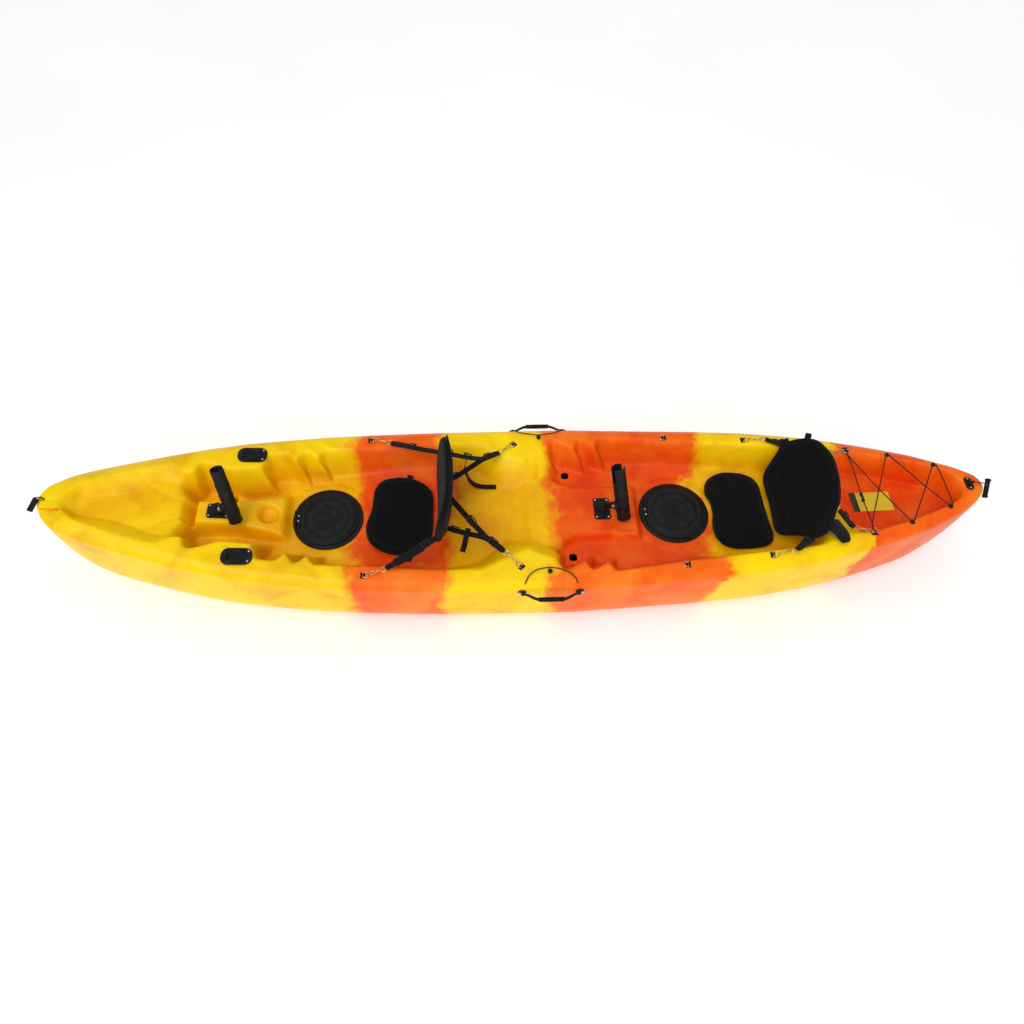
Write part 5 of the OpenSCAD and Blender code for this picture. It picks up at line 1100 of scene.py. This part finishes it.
KS = [[14, 370, 344], [22, 358, 352], [44, 348, 354], [80, 340, 355], [112, 336, 355], [146, 340, 355], [182, 348, 354], [208, 358, 352], [216, 370, 344]]
def cordage(name, pts, r, n, body, node, mat="cord", slot="cord", sides=14):
    p = spline(pts, n); v, f, uv = tube(p, r, sides)
    return obj(name, v, f, mat, body, slot, (node,) if node else (), uv=uv), p
cordage("paddle_keeper_cord_port", KP, 2.3, 110, "kayak", "paddle_keeper_port")
cordage("paddle_keeper_cord_starboard", KS, 2.3, 100, "kayak", "paddle_keeper_starboard")

# ------------------------------------------------------------------ bow loop and strap
BR = [[-1853, 0, 304], [-1853, 0, 264], [-1858, 0, 257], [-1866, 0, 262], [-1878, 0, 300], [-1888, 0, 345], [-1889, 0, 400], [-1888, 0, 436], [-1882, 0, 444], [-1870, 0, 447], [-1858, 0, 445], [-1853, 0, 438], [-1853, 0, 312]]
cordage("bow_cord_loop", BR, 2.4, 150, "kayak", "bow_loop")
g = Geo()
a, b = np.array([-1874.5, -4.5, 444.6]), np.array([-1893, -54, 432.0]); d = (b - a) / np.linalg.norm(b - a); sd = np.cross([0, 0, 1], d); sd /= np.linalg.norm(sd); nv = np.cross(d, sd)
pts = [b - nv * .9, a + d * 22 - nv * 1.0, a + d * 6 - nv * 1.6, a - nv * 1.0, a - d * 1.4, a + nv * 1.0, a + d * 6 + nv * 1.6, a + d * 22 + nv * 1.1, b + nv * 1.0 - d * 1.5]
q = spline(pts, 70); t = np.gradient(q, axis=0); t /= np.linalg.norm(t, axis=1)[:, None]; ups = np.cross(t, np.tile(sd, (70, 1)))
v, f, uv = ribbon(q, 25, 1.7, ups=ups); g.add(v, f, None, uv, 0)
m = np.eye(4); m[:3, 0] = d; m[:3, 1] = sd; m[:3, 2] = nv; m[:3, 3] = a + d * 30 + nv * 2.1
bar_tack(g, m, 19, 4, 1); m = m.copy(); m[:3, 3] = a + d * 12 + nv * 2.5; bar_tack(g, m, 19, 2, 1)
g.build("bow_grab_strap", "web", "strap", "webbing", ("bow_strap",), mats=WM, angle=40)

# ------------------------------------------------------------------ stern toggle on its cord
g = Geo()
prof = [(.6, -40), (7.4, -40), (9.6, -39.2), (11.2, -37.4), (11.5, -35), (11, -33), (10.2, -31.6), (9.7, -30)]
z = np.linspace(-27, 27, 55); prof += [(9.4 + .45 * math.cos(k * 2 * math.pi / 6.0), k) for k in z]
prof += [(r, -zz) for r, zz in prof[:8][::-1]]
v, f = lathe(prof, 72); mt = T(1902, -10, 401) @ R("z", -21) @ R("x", -70.5)
g.add(v, f, mt)
g.build("stern_toggle_grip", "rubber", "toggle", "black_rubber", ("stern_toggle",), angle=30)
SR = [[1829.5, 0, 430.6], [1827.2, 0, 430], [1825, 0, 428.9], [1822, 0, 428.2], [1819, 0, 428.9], [1816.8, 0, 430.9], [1815.9, 0, 434.2], [1816.8, 0, 437.5], [1819, 0, 439.7], [1822, 0, 440.5], [1825.4, 0, 439.6], [1829, 0, 438.2], [1834, 0, 436.6], [1844, -1, 434.4], [1860, -3, 432.6], [1880, -6, 431.2], [1890, -8, 426.5], [1896, -9.5, 413]]
p = spline(SR, 130); v, f, uv = tube(p, 2.1, 12); g = Geo(); g.add(v, f, None, uv)
kn = [(1833 + 3.4 * math.cos(t) * (1 + .0 * t), 3.2 * math.sin(2 * t), 433.6 + 3.4 * math.sin(t)) for t in np.linspace(0, 2 * math.pi, 24, endpoint=False)]
v, f, uv = tube(spline(kn, 60, closed=True), 2.2, 10, closed=True); g.add(v, f, None, uv)
kn = [(1833 + 2.6 * math.cos(t), 4.0 * math.sin(t), 433.6 + 2.2 * math.sin(2 * t)) for t in np.linspace(0, 2 * math.pi, 24, endpoint=False)]
v, f, uv = tube(spline(kn, 60, closed=True), 2.2, 10, closed=True); g.add(v, f, None, uv)
g.build("stern_toggle_cord", "cord", "toggle", "cord", ("stern_cord",))

# ------------------------------------------------------------------ tankwell bungee
BU = [[1424, -2, 336], [1424, -26, 336], [1420, -60, 345], [1408, -120, 368], [1404, -140, 375], [1393, -172, 388.5], [1390, -181, 390.8], [1389, -187.5, 393], [1388.5, -188.6, 396.5], [1388, -186, 400], [1387, -180, 401.6],
  [1384, -170, 402.5], [1465, 0, 404.5], [1541, 158, 406.4], [1546, 162.5, 406.7], [1550, 162.5, 406.7], [1555, 158, 406.8], [1651, 0, 409.2], [1709, -96, 418], [1714, -100.5, 418.7], [1719, -100.5, 418.7], [1725, -95, 419],
  [1728, -60, 419], [1728, 60, 419], [1725, 95, 419], [1719, 100.5, 418.7], [1714, 100.5, 418.7], [1709, 96, 418.4], [1651, 0, 416], [1555, -158, 406.8], [1550, -162.5, 406.7], [1546, -162.5, 406.7], [1541, -158, 406.2],
  [1465, 0, 397.6], [1384, 170, 401], [1387, 180, 401.2], [1388, 186, 400], [1388.5, 188.6, 396.5], [1389, 187.5, 393], [1390, 181, 390.8], [1393, 172, 388.5], [1404, 140, 375], [1408, 120, 368], [1420, 60, 345], [1424, 26, 336], [1424, 2, 336]]
def polyround(pts, step=4.0, rad_=6.0):
    """straight runs with small rounded corners, as a stretched cord takes"""
    p = [np.array(q, float) for q in pts]; out = [p[0]]
    for i in range(1, len(p) - 1):
        a, b, c = p[i - 1], p[i], p[i + 1]; la, lc = np.linalg.norm(a - b), np.linalg.norm(c - b); r = min(rad_, la * .45, lc * .45)
        A, C = b + (a - b) / la * r, b + (c - b) / lc * r
        for t in (0, .25, .5, .75, 1): out.append((1 - t) ** 2 * A + 2 * t * (1 - t) * b + t * t * C)
    out.append(p[-1]); out = np.array(out)
    s = np.concatenate([[0], np.cumsum(np.linalg.norm(np.diff(out, axis=0), axis=1))]); n = int(s[-1] / step)
    return np.stack([np.interp(np.linspace(0, s[-1], n), s, out[:, k]) for k in range(3)], 1)
bp = polyround(BU); v, f, uv = tube(bp, 2.3, 12); obj("tankwell_bungee", v, f, "bungee", "kayak", "cord", ("bungee",), uv=uv)
# the joiner: two moulded hooks closed on each other round the cord ends
g = Geo()
for s in (-1, 1):
    m = T(1424, 0, 336)
    v, f = lathe([(2.5, 21), (4.6, 21), (5.4, 20), (5.8, 17), (5.8, 10), (5.0, 8), (4.0, 7), (2.5, 7)][::-1], 40, closed=True); g.add(v, f, m @ R("x", -90 * s))
    hk = [(0, 8 * s, 0), (3.5, 5 * s, 0), (4.6, 0, 0), (3.0, -5 * s, 0), (0, -7 * s, 0), (-3.0, -5 * s, 0), (-3.6, -2 * s, 0)]
    v, f, uv = tube(spline([(x, y, zz * 1.0 + s * 1.6) for x, y, zz in hk], 40), 1.9, 10); g.add(v, f, m, uv)
    for k in range(3):
        v, f = lathe([(5.4, 11 + 3 * k), (6.4, 11.4 + 3 * k), (6.4, 12.4 + 3 * k), (5.4, 12.8 + 3 * k)], 40, closed=True); g.add(v, f, m @ R("x", -90 * s))
g.build("bungee_hook_joiner", "plastic", "kayak", "black_plastic", ("bungee_joiner",), angle=35)

# ------------------------------------------------------------------ blank label on the tankwell floor
m = T(1480, 4, 294.3) @ R("y", -2.9)
v, f = slab(rrect(164, 92, 4), 0, 1.2, .35); g = Geo(); g.add(v, f, m)
g.build("tankwell_blank_label", "sticker", "kayak", "blank_sticker", ("blank_label",), angle=30)

# ------------------------------------------------------------------ stage and light
def stage():
    w = bpy.data.worlds.new("studio"); scene.world = w; w.use_nodes = True
    bg = w.node_tree.nodes["Background"]; bg.inputs[0].default_value = (1, 1, 1, 1); bg.inputs[1].default_value = 0.46
    z0 = float(box0[0][2]) - 0.012
    me = bpy.data.meshes.new("studio_floor")
    bm = bmesh.new(); bmesh.ops.create_grid(bm, x_segments=40, y_segments=40, size=14); bm.to_mesh(me); bm.free()
    fl = bpy.data.objects.new("studio_floor", me); fl.location = (0, 2.0, z0); scene.collection.objects.link(fl)
    m, nt, b = nodes_of("studio_floor"); g = NB(nt)
    n1 = g.noise(g.n("ShaderNodeTexCoord").outputs["Object"], 0.8, 3, 0.5)
    g.l(g.ramp(n1, [(0.3, (0.90, 0.90, 0.90)), (0.7, (0.93, 0.93, 0.93))]), b.inputs["Base Color"])
    b.inputs["Roughness"].default_value = 0.95; b.inputs["Specular IOR Level"].default_value = 0.1
    b.inputs["Emission Color"].default_value = (1, 1, 1, 1); b.inputs["Emission Strength"].default_value = 0.19
    me.materials.append(m)
    def area(name, loc, target, size, energy, size_y=None, col=(1, 1, 1)):
        d = bpy.data.lights.new(name, "AREA"); d.energy = energy; d.size = size; d.color = col
        if size_y: d.shape = "RECTANGLE"; d.size_y = size_y
        o = bpy.data.objects.new(name, d); scene.collection.objects.link(o)
        o.location = loc; o.rotation_euler = (Vector(target) - Vector(loc)).to_track_quat("-Z", "Y").to_euler()
    area("overhead", (-0.4, 0.6, 4.6), (0, 0, 0.2), 5.0, 30, 2.0)
    area("shoulder_strip", (0.0, -4.6, 2.9), (0, -0.3, 0.3), 6.0, 50, 0.9)
    sd = bpy.data.lights.new("sky_sun", "SUN"); sd.energy = 1.25; sd.angle = rad(35)
    so = bpy.data.objects.new("sky_sun", sd); scene.collection.objects.link(so)
    so.rotation_euler = Vector((0.35, 0.45, -1.0)).to_track_quat("-Z", "Y").to_euler()
    scene.view_settings.view_transform = "Standard"
    scene.view_settings.exposure = 0.0
stage()
